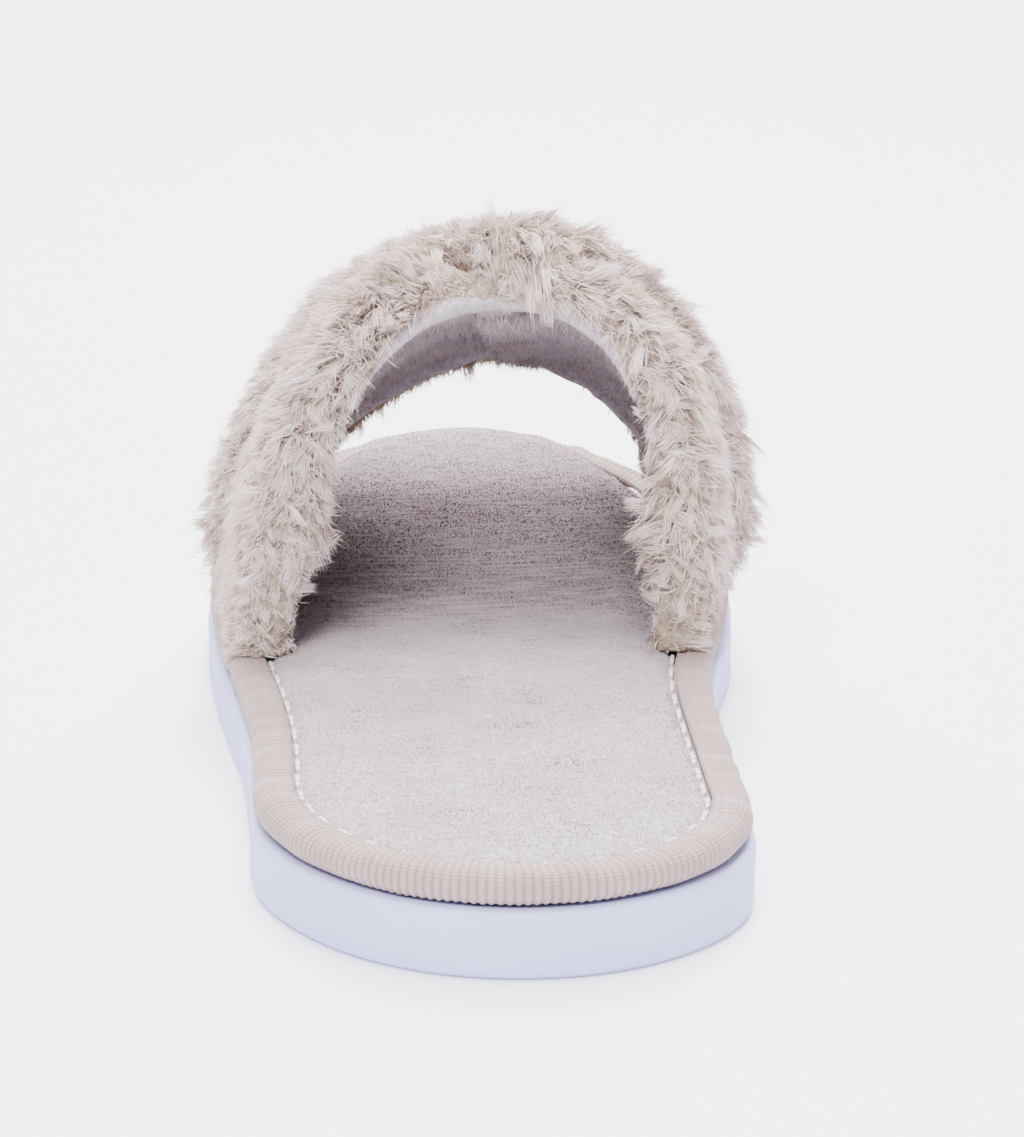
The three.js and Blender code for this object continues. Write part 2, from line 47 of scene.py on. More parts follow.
camera_data = bpy.data.cameras.new("camera")
camera_data.lens = LENS
camera_data.sensor_width = 36.0
camera = bpy.data.objects.new("camera", camera_data)
camera.location = CAMERA_AT
camera.rotation_euler = Euler(CAMERA_TURN)
bpy.context.scene.collection.objects.link(camera)
bpy.context.scene.camera = camera


def area_light(name, at, aim, size, watts):
    data = bpy.data.lights.new(name, "AREA")
    data.shape = "DISK"
    data.size = size
    data.energy = watts
    lamp = bpy.data.objects.new(name, data)
    lamp.location = at
    direction = [a - b for a, b in zip(aim, at)]
    flat = math.hypot(direction[0], direction[1])
    lamp.rotation_euler = (math.atan2(flat, -direction[2]), 0.0,
                           math.atan2(direction[1], direction[0]) - math.pi / 2)
    bpy.context.scene.collection.objects.link(lamp)


area_light("key", (-0.20, -0.85, 0.90), (0, -0.05, 0.03), 0.5, 22.0)
area_light("top", (0.05, 0.02, 1.2), (0, 0, 0.03), 0.7, 26.0)
area_light("front", (0.20, 0.75, 0.95), (0, 0.1, 0.03), 0.6, 14.0)
area_light("backdrop", (0.0, 1.9, 1.5), (0, 1.5, 0), 2.4, 170.0)

world = bpy.data.worlds.new("studio")
world.use_nodes = True
world.node_tree.nodes["Background"].inputs["Color"].default_value = (0.97, 0.975, 1.0, 1.0)
world.node_tree.nodes["Background"].inputs["Strength"].default_value = 0.70
bpy.context.scene.world = world

# ---------------------------------------------------------------- dimensions shared with the CAD

# In mm. Where the looks use another number than the CAD, the CAD's stands beside it.
GAP = 0.3
LENGTH = 256.0
HEEL_TIP_X = 2.5
HEEL_OUTER_HALF, HEEL_INNER_HALF = 37.6, 38.0
HEEL_OUTER_DEPTH, HEEL_INNER_DEPTH = 52.0, 40.0
WAIST_Y, WAIST_INNER_HALF = 92.0, 37.8
BALL_OUTER_HALF, BALL_INNER_HALF = 47.6, 47.8
BALL_OUTER_FROM_TOE, BALL_INNER_FROM_TOE = 66.0, 61.0
SOLE_HEIGHT, SOLE_EDGE_ROUND = 10.0, 1.2
TOE_SPRING, TOE_SPRING_LENGTH = 13.5, 91.0
GROOVE_DEPTH, GROOVE_WIDTH, GROOVE_PITCH = 2.5, 3.0, 11.0
GROOVE_EDGE_MARGIN, GROOVE_CHEVRON, SHANK_HALF = 8.0, 5.0, 17.0
BOARD_THICK, COVER_THICK = 1.2, 1.1
TAPE_THICK, TAPE_WIDTH, TAPE_INSET = 0.8, 6.0, 0.6
HEEL_CROWN, TOE_CROWN, CROWN_RAMP = 1.6, 8.4, 14.0
CROSSING_FROM_TOE, STRAP_SKEW, STRAP_SPREAD = 95.0, 20.0, 0.75
STRAP_HALF_TOP, STRAP_HALF_BASE = 26.0, 16.5
UPPER_LEAN, INSTEP_HEIGHT, INSTEP_SLOPE = 5.5, 61.5, 0.337
REAR_LEG_ANGLE, FRONT_LEG_ANGLE = 108.0, 93.0
REAR_LEG_FROM_TAPE, FRONT_LEG_FROM_TAPE = 1.8, 3.0
LINING_THICK, STRAP_FOAM_THICK, SEAM_THICK = 1.2, 1.6, 0.9
FUR_THICK, FUR_PRESSED, FUR_OVERHANG, FUR_TUCKED = 8.0, 1.6, 6.0, 1.3
FUR_LIP, FUR_REAR_LIP_THICK, FUR_FRONT_LIP_THICK = 4.0, 7.0, 3.0
INNER_LIFT = 0.35  # 0.4
OUTER_FLOW, INNER_FLOW, WAIST_FLOW = 0.42, 0.44, 0.4
TAPE_ROUND = 2.8
CROWN_START, CROWN_FULL = 0.42 * LENGTH, LENGTH - 20  # 107.5 for the first
SPINE_PAST_HEEL = 6.0
SPINE_STOP = 0.996  # 0.97
PRESS_ROOM, PRESS_RUN = 0.8, 8.0
FREE_FROM, FREE_FULL = 0.12, 0.4
LIFT_FROM, LIFT_FULL = 0.15, 0.35  # 0.12 and 0.4
STAND_FROM = 0.7

TAPE_END = TAPE_INSET + TAPE_WIDTH
BOARD_TOP = GAP + TAPE_THICK + GAP + BOARD_THICK
COVER_EDGE_TOP = BOARD_TOP + GAP + COVER_THICK
TAPE_TOP = COVER_EDGE_TOP + GAP + TAPE_THICK
EDGE_RISE_RUN = 2.6
EDGE_RISE = TAPE_TOP - COVER_EDGE_TOP
RIM = SOLE_HEIGHT + TAPE_TOP
CROSSING_Y = LENGTH - CROSSING_FROM_TOE
NOTCH_Y = CROSSING_Y - STRAP_HALF_TOP
FOAM_OUT = STRAP_FOAM_THICK / 2
LINING_OUT = -FOAM_OUT - GAP
LINING_IN = LINING_OUT - LINING_THICK
FUR_IN = FOAM_OUT + GAP  # 0.06 further out
CROSS_LIFT = FUR_IN + FUR_PRESSED + 2 * GAP - LINING_IN
OVER = {"rear": 1, "lifted": True}
UNDER = {"rear": -1, "lifted": False}

# ---------------------------------------------------------------- the CAD's outline, heights and arch


def lerp(a, b, t):
    return a + (b - a) * t


def smooth(start, end, value):
    t = np.clip((value - start) / (end - start), 0.0, 1.0)
    return t * t * (3 - 2 * t)


def bezier(a, b, c, d, count):
    t = np.linspace(0, 1, count, endpoint=False)[:, None]
    a, b, c, d = (np.array(p, float) for p in (a, b, c, d))
    return (1 - t) ** 3 * a + 3 * (1 - t) ** 2 * t * b + 3 * (1 - t) * t * t * c + t ** 3 * d


def sole_outline():
    k = 0.5523
    outer_y, inner_y = LENGTH - BALL_OUTER_FROM_TOE, LENGTH - BALL_INNER_FROM_TOE
    outer_run = OUTER_FLOW * (outer_y - HEEL_OUTER_DEPTH)
    inner_run = INNER_FLOW * (inner_y - WAIST_Y)
    waist_run = WAIST_FLOW * (WAIST_Y - HEEL_INNER_DEPTH)
    tip, outer, inner = HEEL_TIP_X, -HEEL_OUTER_HALF, HEEL_INNER_HALF
    ball_out, ball_in = -BALL_OUTER_HALF, BALL_INNER_HALF
    parts = [
        ((tip, 0), (lerp(tip, outer, k), 0), (outer, (1 - k) * HEEL_OUTER_DEPTH),
         (outer, HEEL_OUTER_DEPTH)),
        ((outer, HEEL_OUTER_DEPTH), (outer, HEEL_OUTER_DEPTH + outer_run),
         (ball_out, outer_y - outer_run), (ball_out, outer_y)),
        ((ball_out, outer_y), (ball_out, outer_y + k * BALL_OUTER_FROM_TOE),
         (k * ball_out, LENGTH), (0, LENGTH)),
        ((0, LENGTH), (k * ball_in, LENGTH), (ball_in, inner_y + k * BALL_INNER_FROM_TOE),
         (ball_in, inner_y)),
        ((ball_in, inner_y), (ball_in, inner_y - inner_run),
         (WAIST_INNER_HALF, WAIST_Y + inner_run), (WAIST_INNER_HALF, WAIST_Y)),
        ((WAIST_INNER_HALF, WAIST_Y), (WAIST_INNER_HALF, WAIST_Y - waist_run),
         (inner, HEEL_INNER_DEPTH + waist_run), (inner, HEEL_INNER_DEPTH)),
        ((inner, HEEL_INNER_DEPTH), (inner, (1 - k) * HEEL_INNER_DEPTH),
         (lerp(tip, inner, k), 0), (tip, 0)),
    ]
    return np.concatenate([bezier(*p, 400) for p in parts])


FINE = sole_outline()
STEPS = np.linalg.norm(np.diff(np.vstack([FINE, FINE[:1]]), axis=0), axis=1)
ARC = np.concatenate([[0], np.cumsum(STEPS)])
PERIMETER = ARC[-1]
TOE_INDEX = int(np.argmax(FINE[:, 1]))
OUTER_SIDE = FINE[: TOE_INDEX + 1]
INNER_SIDE = np.vstack([FINE[TOE_INDEX:], FINE[:1]])[::-1]


def outline_at(arc):
    """Points of the outline at these distances round it from the heel tip."""
    closed = np.vstack([FINE, FINE[:1]])
    arc = np.mod(arc, PERIMETER)
    return np.stack([np.interp(arc, ARC, closed[:, i]) for i in (0, 1)], -1)


def edge_x(y, side):
    rows = OUTER_SIDE if side < 0 else INNER_SIDE
    return np.interp(y, rows[:, 1], rows[:, 0])


def spring_at(y):
    along = np.clip((y - (LENGTH - TOE_SPRING_LENGTH)) / TOE_SPRING_LENGTH, 0, 2)
    return TOE_SPRING * along * along


def cover_top(inset, y):
    crown = lerp(HEEL_CROWN, TOE_CROWN, smooth(CROWN_START, CROWN_FULL, y))
    past = inset - TAPE_END - GAP
    return (COVER_EDGE_TOP + EDGE_RISE * smooth(0, EDGE_RISE_RUN, past)
            + crown * smooth(0, CROWN_RAMP, past))


def spine_of(points):
    heel, toe = HEEL_OUTER_DEPTH - SPINE_PAST_HEEL, LENGTH - BALL_OUTER_FROM_TOE
    y = np.clip(points[..., 1], heel, toe)
    return np.stack([np.zeros_like(y), y], -1)


def inset_points(points, inset):
    """Outline points moved in by an inset, towards the spine."""
    spine = spine_of(points)
    far = np.linalg.norm(points - spine, axis=-1)
    share = np.minimum(np.asarray(inset) / far, SPINE_STOP)
    return points + (spine - points) * share[..., None]


def raised(flat, height):
    return np.concatenate([flat, (spring_at(flat[..., 1]) + height)[..., None]], -1)


def centre_y(strap, s):
    spread = np.sin((np.pi / 2) * np.clip(s / STRAP_SPREAD, -1, 1))
    return CROSSING_Y - strap["rear"] * STRAP_SKEW * spread


def half_width(s):
    return lerp(STRAP_HALF_TOP, STRAP_HALF_BASE, s * s)


def arch_point(y, s):
    turn = smooth(CROSSING_Y - 2 * STRAP_SKEW, CROSSING_Y + 2 * STRAP_SKEW, y)
    inset = TAPE_END + lerp(REAR_LEG_FROM_TAPE, FRONT_LEG_FROM_TAPE, turn)
    left, right = edge_x(y, -1) + inset, edge_x(y, 1) - inset
    leg = np.radians(lerp(REAR_LEG_ANGLE, FRONT_LEG_ANGLE, turn))
    base = spring_at(y) + RIM
    crown = RIM + INSTEP_HEIGHT - INSTEP_SLOPE * (y - NOTCH_Y)
    rise = (crown - base) / (1 - np.cos(leg))
    reach = (right - left) / 2 / np.sin(leg)
    z = crown - rise + rise * np.cos(s * leg)
    lean = (UPPER_LEAN * (z - base)) / (crown - base)
    x = (left + right) / 2 + reach * np.sin(s * leg) + lean
    return np.stack([x, y, z], -1)


def unit(v):
    return v / np.maximum(np.linalg.norm(v, axis=-1, keepdims=True), 1e-9)


def arch_normal(y, s):
    step = 0.01
    along = arch_point(y, s + step) - arch_point(y, s - step)
    forward = arch_point(y + step, s) - arch_point(y - step, s)
    normal = unit(np.cross(along, forward))
    flat = np.stack([np.sign(s), np.zeros_like(s), np.zeros_like(s)], -1)
    return unit(lerp(normal, flat, smooth(STAND_FROM, 1, np.abs(s))[..., None]))


def floor_at(x, y):
    edge = np.where(x < 0, edge_x(y, -1), edge_x(y, 1))
    return spring_at(y) + SOLE_HEIGHT + np.maximum(TAPE_TOP, cover_top(np.abs(edge - x), y))


def freedom(strap, s, edge):
    """1 where no other strap lies beyond this edge (1 front, -1 rear), and 0 where one does."""
    return smooth(FREE_FROM, FREE_FULL, -edge * strap["rear"] * s)


def overhang(strap, s, edge):
    if not strap["lifted"]:
        return lerp(FUR_TUCKED, FUR_OVERHANG, freedom(strap, s, edge))
    return lerp(FUR_OVERHANG, FUR_TUCKED, smooth(STRAP_SPREAD, 1, edge * strap["rear"] * s))


def lift_at(strap, s, y):
    if not strap["lifted"]:
        return np.zeros_like(y)
    apart = np.abs(y - centre_y(UNDER, s)) - half_width(s)
    margin = lerp(FUR_OVERHANG, FUR_TUCKED, smooth(LIFT_FROM, LIFT_FULL, np.abs(s)))
    return CROSS_LIFT * smooth(margin + PRESS_RUN, margin, apart)


def fur_at(strap, s, y):
    if strap["lifted"]:
        return np.full_like(y, FUR_THICK)
    centre = centre_y(OVER, s)
    apart = np.abs(y - centre) - half_width(s)
    margin = np.where(y > centre, overhang(OVER, s, 1), overhang(OVER, s, -1)) + PRESS_ROOM
    return lerp(FUR_PRESSED, FUR_THICK, smooth(margin, margin + PRESS_RUN, apart))


def strap_point(strap, s, y, out):
    s, y, out = np.broadcast_arrays(*(np.asarray(v, float) for v in (s, y, out)))
    p = arch_point(y, s) + arch_normal(y, s) * (out + lift_at(strap, s, y))[..., None]
    standing = smooth(STAND_FROM, 1, np.abs(s))
    inward = np.maximum(0, LINING_IN - out)
    rise = floor_at(p[..., 0], p[..., 1]) + GAP - spring_at(y) - RIM + inward * INNER_LIFT
    p[..., 2] += standing * rise
    return p


# ---------------------------------------------------------------- mesh making

MM = 0.001


def new_piece(name, points, faces, maps=None, smooth_faces=True):
    """A mesh object from points in mm (heel tip at y 0) and a list of face arrays. maps holds
    (name, one uv pair for each point)."""
    points = (np.asarray(points, float).reshape(-1, 3) - (0, LENGTH / 2, 0)) * MM
    faces = [np.asarray(f, np.int32) for f in faces if len(f)]
    sizes = np.concatenate([np.full(len(f), f.shape[1], np.int32) for f in faces])
    corners = np.concatenate([f.ravel() for f in faces])
    mesh = bpy.data.meshes.new(name)
    mesh.vertices.add(len(points))
    mesh.vertices.foreach_set("co", points.astype(np.float32).ravel())
    mesh.loops.add(len(corners))
    mesh.loops.foreach_set("vertex_index", corners)
    mesh.polygons.add(len(sizes))
    starts = np.concatenate([[0], np.cumsum(sizes)[:-1]]).astype(np.int32)
    mesh.polygons.foreach_set("loop_start", starts)
    mesh.polygons.foreach_set("loop_total", sizes)
    mesh.polygons.foreach_set("use_smooth", np.full(len(sizes), smooth_faces))
    for title, uv in maps or []:
        layer = mesh.uv_layers.new(name=title)
        layer.uv.foreach_set("vector", np.asarray(uv, np.float32)[corners].ravel())
    mesh.update(calc_edges=True)
    mesh.validate()
    piece = bpy.data.objects.new(name, mesh)
    bpy.context.scene.collection.objects.link(piece)
    return piece


def grid_faces(rows, columns, wrap_rows=False, wrap_columns=False):
    """Quads over points numbered row by row."""
    r = np.arange(rows if wrap_rows else rows - 1)
    c = np.arange(columns if wrap_columns else columns - 1)
    r, c = np.meshgrid(r, c, indexing="ij")
    r2, c2 = (r + 1) % rows, (c + 1) % columns
    quads = [r * columns + c, r * columns + c2, r2 * columns + c2, r2 * columns + c]
    return np.stack([q.ravel() for q in quads], -1)


def apply_modifiers(piece):
    """Replaces the piece's mesh with what its modifiers make of it."""
    graph = bpy.context.evaluated_depsgraph_get()
    graph.update()
    made = bpy.data.meshes.new_from_object(piece.evaluated_get(graph))
    old = piece.data
    piece.modifiers.clear()
    piece.data = made
    bpy.data.meshes.remove(old)


def noise_field(points, scale, seed, octaves=3):
    """Smooth noise about 0 at points in mm, from summed sine waves in random directions."""
    rng = np.random.default_rng(seed)
    total = np.zeros(points.shape[:-1])
    strength = 1.0
    for _ in range(octaves):
        for _ in range(7):
            wave = unit(rng.normal(size=3)) * (2 * np.pi / scale) * rng.uniform(0.6, 1.5)
            total += strength * np.sin(points @ wave + rng.uniform(0, 2 * np.pi)) / 7 ** 0.5
        scale /= 2.1
        strength /= 2
    return total


# ---------------------------------------------------------------- materials


def rgb(red, green, blue):
    """A linear colour from sRGB values out of 255."""
    def linear(v):
        v /= 255
        return v / 12.92 if v <= 0.04045 else ((v + 0.055) / 1.055) ** 2.4
    return (linear(red), linear(green), linear(blue), 1.0)


class Nodes:
    """Builds one procedural material."""

    def __init__(self, name, roughness=0.9, specular=0.3, sheen=0.0, sheen_tint=None):
        self.material = bpy.data.materials.new(name)
        self.material.use_nodes = True
        self.tree = self.material.node_tree
        self.shader = self.tree.nodes["Principled BSDF"]
        self.shader.inputs["Roughness"].default_value = roughness
        self.shader.inputs["Specular IOR Level"].default_value = specular
        self.shader.inputs["Sheen Weight"].default_value = sheen
        self.shader.inputs["Sheen Roughness"].default_value = 0.5
        if sheen_tint:
            self.shader.inputs["Sheen Tint"].default_value = sheen_tint
        self.place = self.add("ShaderNodeTexCoord").outputs["Object"]
        self.bump_from = None

    def add(self, kind, **values):
        node = self.tree.nodes.new(kind)
        for key, value in values.items():
            setattr(node, key, value)
        return node

    def link(self, source, target):
        self.tree.links.new(source, target)

    def scaled(self, scale, vector=None):
        node = self.add("ShaderNodeMapping")
        node.inputs["Scale"].default_value = scale
        self.link(vector or self.place, node.inputs["Vector"])
        return node.outputs["Vector"]

    def noise(self, scale, detail=4.0, rough=0.55, vector=None, distortion=0.0):
        node = self.add("ShaderNodeTexNoise")
        node.inputs["Scale"].default_value = scale
        node.inputs["Detail"].default_value = detail
        node.inputs["Roughness"].default_value = rough
        node.inputs["Distortion"].default_value = distortion
        self.link(vector or self.place, node.inputs["Vector"])
        return node.outputs["Fac"]

    def ramp(self, value, stops):
        node = self.add("ShaderNodeValToRGB")
        elements = node.color_ramp.elements
        while len(elements) < len(stops):
            elements.new(0.5)
        for element, (at, color) in zip(elements, stops):
            element.position = at
            element.color = color
        self.link(value, node.inputs["Fac"])
        return node.outputs["Color"]

    def mix(self, share, a, b, blend="MIX"):
        node = self.add("ShaderNodeMix", data_type="RGBA", blend_type=blend)
        for value, socket in ((share, node.inputs["Factor"]), (a, node.inputs["A"]),
                              (b, node.inputs["B"])):
            if isinstance(value, bpy.types.NodeSocket):
                self.link(value, socket)
            else:
                socket.default_value = value
        return node.outputs["Result"]

    def math(self, operation, a, b):
        node = self.add("ShaderNodeMath", operation=operation)
        for value, socket in zip((a, b), node.inputs):
            if isinstance(value, bpy.types.NodeSocket):
                self.link(value, socket)
            else:
                socket.default_value = value
        return node.outputs[0]

    def color(self, value):
        self.link(value, self.shader.inputs["Base Color"])

    def roughness(self, value, low, high):
        node = self.add("ShaderNodeMapRange")
        node.inputs["To Min"].default_value = low
        node.inputs["To Max"].default_value = high
        self.link(value, node.inputs["Value"])
        self.link(node.outputs["Result"], self.shader.inputs["Roughness"])

    def bump(self, height, distance, strength=1.0):
        """Bumps stack: each one takes the last one's normal."""
        node = self.add("ShaderNodeBump")
        node.inputs["Distance"].default_value = distance
        node.inputs["Strength"].default_value = strength
        self.link(height, node.inputs["Height"])
        if self.bump_from:
            self.link(self.bump_from, node.inputs["Normal"])
        self.bump_from = node.outputs["Normal"]
        self.link(self.bump_from, self.shader.inputs["Normal"])

    def uv(self, name):
        """The two directions of a map, as its X and Y outputs."""
        split = self.add("ShaderNodeSeparateXYZ")
        self.link(self.add("ShaderNodeUVMap", uv_map=name).outputs["UV"], split.inputs["Vector"])
        return split.outputs

    def from_wave(self, wave):
        """A wave between -1 and 1, brought to between 0 and 1."""
        share = self.math("MULTIPLY_ADD", wave, 0.5)
        share.node.inputs[2].default_value = 0.5
        return share


def eva_material():
    m = Nodes("eva_foam", 0.55, 0.35)
    grain = m.noise(2200, 3)
    wide = m.noise(38, 4)
    # The blue in these colours is painted light, the tint of the light on the white foam; the darker
    # scuffs are wear.
    scuffs = m.ramp(m.noise(180, 6, 0.7, distortion=1.5),
                    [(0.62, rgb(190, 193, 240)), (0.78, rgb(180, 183, 230))])
    tone = m.ramp(wide, [(0.35, rgb(188, 191, 242)), (0.65, rgb(196, 199, 248))])
    m.color(m.mix(0.35, tone, scuffs))
    m.roughness(wide, 0.45, 0.7)
    m.bump(grain, 0.00018, 0.5)
    m.bump(wide, 0.0006, 0.3)
    return m.material


def board_material():
    m = Nodes("board_fibre", 0.9, 0.2)
    fibre = m.noise(60, 6, 0.7, m.scaled((9, 1, 9)))
    m.color(m.ramp(fibre, [(0.3, rgb(150, 122, 90)), (0.7, rgb(196, 170, 136))]))
    m.roughness(fibre, 0.8, 1.0)
    m.bump(fibre, 0.0003)
    return m.material


YARNS = 17


def tape_material():
    m = Nodes("ribbed_tape", 0.85, 0.2, sheen=0.3, sheen_tint=rgb(255, 248, 240))
    weave = m.uv("Weave")
    rib = m.from_wave(m.math("COSINE", m.math("MULTIPLY", weave["X"], 2 * math.pi), 0.0))
    cross = m.math("SINE", m.math("MULTIPLY", weave["Y"], 2 * math.pi * YARNS), 0.0)
    yarn = m.math("MULTIPLY", cross, rib)
    wide = m.noise(55, 4)
    # Painted shade: the tape is darker down in the grooves between its ribs.
    ribs = m.ramp(rib, [(0.0, rgb(150, 128, 122)), (0.4, rgb(172, 152, 151)),
                        (1.0, rgb(184, 165, 168))])
    patches = m.ramp(wide, [(0.35, rgb(226, 214, 208)), (0.65, rgb(250, 244, 244))])
    m.color(m.mix(0.6, ribs, patches, "MULTIPLY"))
    m.roughness(wide, 0.75, 0.95)
    m.bump(yarn, 0.00012, 0.8)
    m.bump(m.noise(2600, 3), 0.00012, 0.6)
    return m.material


def velour_material(name, light, dark, streak, scale, band=False):
    """Short pile: light and dark patches and fine tufts. With band, painted shade darkens it
    under the straps, by the map of where the footbed lies along the sole."""
    m = Nodes(name, 0.95, 0.12, sheen=0.45, sheen_tint=rgb(255, 250, 250))
    drawn = m.scaled(streak)
    tufts = m.noise(scale, 6, 0.62, drawn)
    fine = m.noise(scale * 3.2, 3, 0.6, drawn)
    patches = m.noise(34, 5, 0.6, m.scaled((1, 1.6, 1)), 0.8)
    tone = m.ramp(patches, [(0.36, dark), (0.64, light)])
    shade = m.ramp(tufts, [(0.30, rgb(176, 166, 168)), (0.52, rgb(232, 227, 229)),
                           (0.75, rgb(255, 255, 255))])
    tone = m.mix(0.75, tone, shade, "MULTIPLY")
    if band:
        painted = m.ramp(m.uv("Place")["Y"], [(start, rgb(*tint)) for start, tint in PAINTED_SHADE_BAND])
        tone = m.mix(1.0, tone, painted, "MULTIPLY")
    m.color(tone)
    m.roughness(tufts, 0.85, 1.0)
    m.bump(tufts, 0.0009, 0.75)
    m.bump(fine, 0.0003, 0.6)
    return m.material


# Shares of the sole's length, and the tint of the footbed there: painted shade under the straps.
PAINTED_SHADE_BAND = [(0.46, (255, 255, 255)), (0.62, (146, 128, 133)), (0.80, (138, 121, 126)),
             (0.91, (250, 246, 248))]


def thread_material():
    m = Nodes("cotton_thread", 0.7, 0.3)
    place = m.uv("Twist")
    turn = m.math("ADD", place["X"], place["Y"])
    twist = m.from_wave(m.math("SINE", m.math("MULTIPLY", turn, 2 * math.pi), 0.0))
    # Painted shade: the thread is darker down in the grooves of its twist.
    m.color(m.ramp(twist, [(0.0, rgb(196, 188, 184)), (0.5, rgb(238, 234, 234)),
                           (1.0, rgb(250, 248, 250))]))
    m.roughness(m.noise(900), 0.6, 0.85)
    m.bump(twist, 0.0002, 0.9)
    return m.material


def fur_material(name, stops, tints):
    """Colour runs from root to tip up the strand map, and its tint goes across the map."""
    m = Nodes(name, 0.72, 0.18)
    strand = m.uv("OFBake")
    along = m.ramp(strand["Y"], stops)
    tint = m.ramp(strand["X"], tints)
    m.color(m.mix(1.0, along, tint, "MULTIPLY"))
    m.roughness(strand["Y"], 0.85, 0.6)
    return m.material


def fleece_material(name, light, dark):
    """The dense matted layer that the long pile grows out of."""
    m = Nodes(name, 0.95, 0.1, sheen=0.3)
    tufts = m.noise(420, 6, 0.65, distortion=0.6)
    m.color(m.ramp(tufts, [(0.3, dark), (0.7, light)]))
    m.roughness(tufts, 0.9, 1.0)
    m.bump(tufts, 0.0012, 0.8)
    m.bump(m.noise(1800, 3), 0.0004, 0.6)
    return m.material


FOAM = eva_material()
BOARD = board_material()
TAPE = tape_material()
# The footbed's velour, with painted shade under the straps.
VELOUR = velour_material("velour", rgb(226, 215, 220), rgb(208, 196, 200), (1, 3.2, 1), 520, True)
PLUSH = velour_material("plush", rgb(216, 204, 209), rgb(194, 182, 187), (1.0, 2.6, 1), 620)
THREAD = thread_material()
FUR_STOPS = [(0.0, rgb(160, 138, 116)), (0.25, rgb(204, 188, 174)), (0.55, rgb(230, 219, 214)),
             (1.0, rgb(245, 237, 238))]
FUR_TINTS = [(0.0, rgb(218, 200, 184)), (0.35, rgb(233, 221, 214)), (0.7, rgb(246, 238, 238)),
             (1.0, rgb(255, 255, 255))]
FUR = fur_material("faux_fur", FUR_STOPS, FUR_TINTS)
# The darkest of these tints are mostly reached where painted shade darkens the footbed's fibres under
# the straps.
PILE_TINTS = [(0.0, rgb(112, 96, 100)), (0.25, rgb(158, 142, 147)), (0.55, rgb(243, 236, 239)),
              (1.0, rgb(255, 255, 255))]
VELOUR_PILE = fur_material("velour_pile", [(0.0, rgb(196, 182, 186)), (0.5, rgb(216, 204, 208)),
                                           (1.0, rgb(230, 220, 226))], PILE_TINTS)
# The lining's pile is coloured darker than the footbed's pile: painted shade for the inside of the
# arch.
SHADED_PLUSH_PILE = fur_material("shaded_plush_pile", [(0.0, rgb(152, 140, 147)), (0.5, rgb(182, 170, 178)),
                                         (1.0, rgb(208, 197, 206))], PILE_TINTS)
FRINGE = fur_material("cloth_fringe", [(0.0, rgb(166, 136, 96)), (0.5, rgb(206, 180, 142)),
                                       (1.0, rgb(232, 214, 188))], PILE_TINTS)
FLEECE = fleece_material("fur_underlayer", rgb(200, 184, 168), rgb(150, 130, 110))

# ---------------------------------------------------------------- outsole

BODY = "root"


def finish_piece(piece, material, slot, *nodes):
    piece.data.materials.clear()
    piece.data.materials.append(material)
    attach(piece, BODY)
    if nodes:
        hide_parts(*nodes)
    return piece


def sole_rings(count, profile):
    """Rings round the sole from (inset, share of the way on to the spine, height) triples."""
    points = outline_at(np.arange(count) * PERIMETER / count)
    rings = []
    for inset, share, height in profile:
        far = np.linalg.norm(points - spine_of(points), axis=-1)
        inward = lerp(inset, far, share)
        flat = inset_points(points, inward)
        rings.append(raised(flat, height(inward, flat[:, 1]) if callable(height) else height))
    return np.array(rings)


def closed_rings(rings):
    """Faces of a stack of rings, with a laced cap over each end."""
    count = rings.shape[1]
    faces = grid_faces(len(rings), count, wrap_columns=True)
    lace = np.array([(i, i + 1, count - i - 2, count - i - 1) for i in range(count // 2 - 1)])
    return [faces, lace[:, ::-1], lace + (len(rings) - 1) * count]


def outsole():
    count = 420
    edge, top, top_round = SOLE_EDGE_ROUND, SOLE_HEIGHT, 1.1
    bends = np.linspace(0, np.pi / 2, 5)
    profile = [(12, 0.9, 0), (12, 0.45, 0), (20, 0, 0), (8, 0, 0), (3, 0, 0)]
    profile += [(edge * (1 - math.sin(a)), 0, edge * (1 - math.cos(a))) for a in bends]
    profile += [(0.0, 0, h) for h in np.linspace(edge, top - top_round, 6)[1:]]
    profile += [(top_round * (1 - math.cos(a)), 0, top - top_round + top_round * math.sin(a))
                for a in bends[1:]]
    profile += [(3, 0, top), (12, 0, top), (12, 0.45, top), (12, 0.9, top)]
    rings = sole_rings(count, profile)
    rings[..., 0] += 0.12 * noise_field(rings, 40, 3, 2)
    piece = new_piece("foam_outsole", rings, closed_rings(rings))
    cutter = groove_cutter()
    cut = piece.modifiers.new("grooves", "BOOLEAN")
    cut.object = cutter
    cut.operation = "DIFFERENCE"
    cut.solver = "EXACT"
    apply_modifiers(piece)
    bpy.data.objects.remove(cutter)
    finish_piece(piece, FOAM, "eva", "outsole")


TREAD_FROM_HEEL, TREAD_FROM_TOE, GROOVE_NARROWS = 12, 14, 0.72


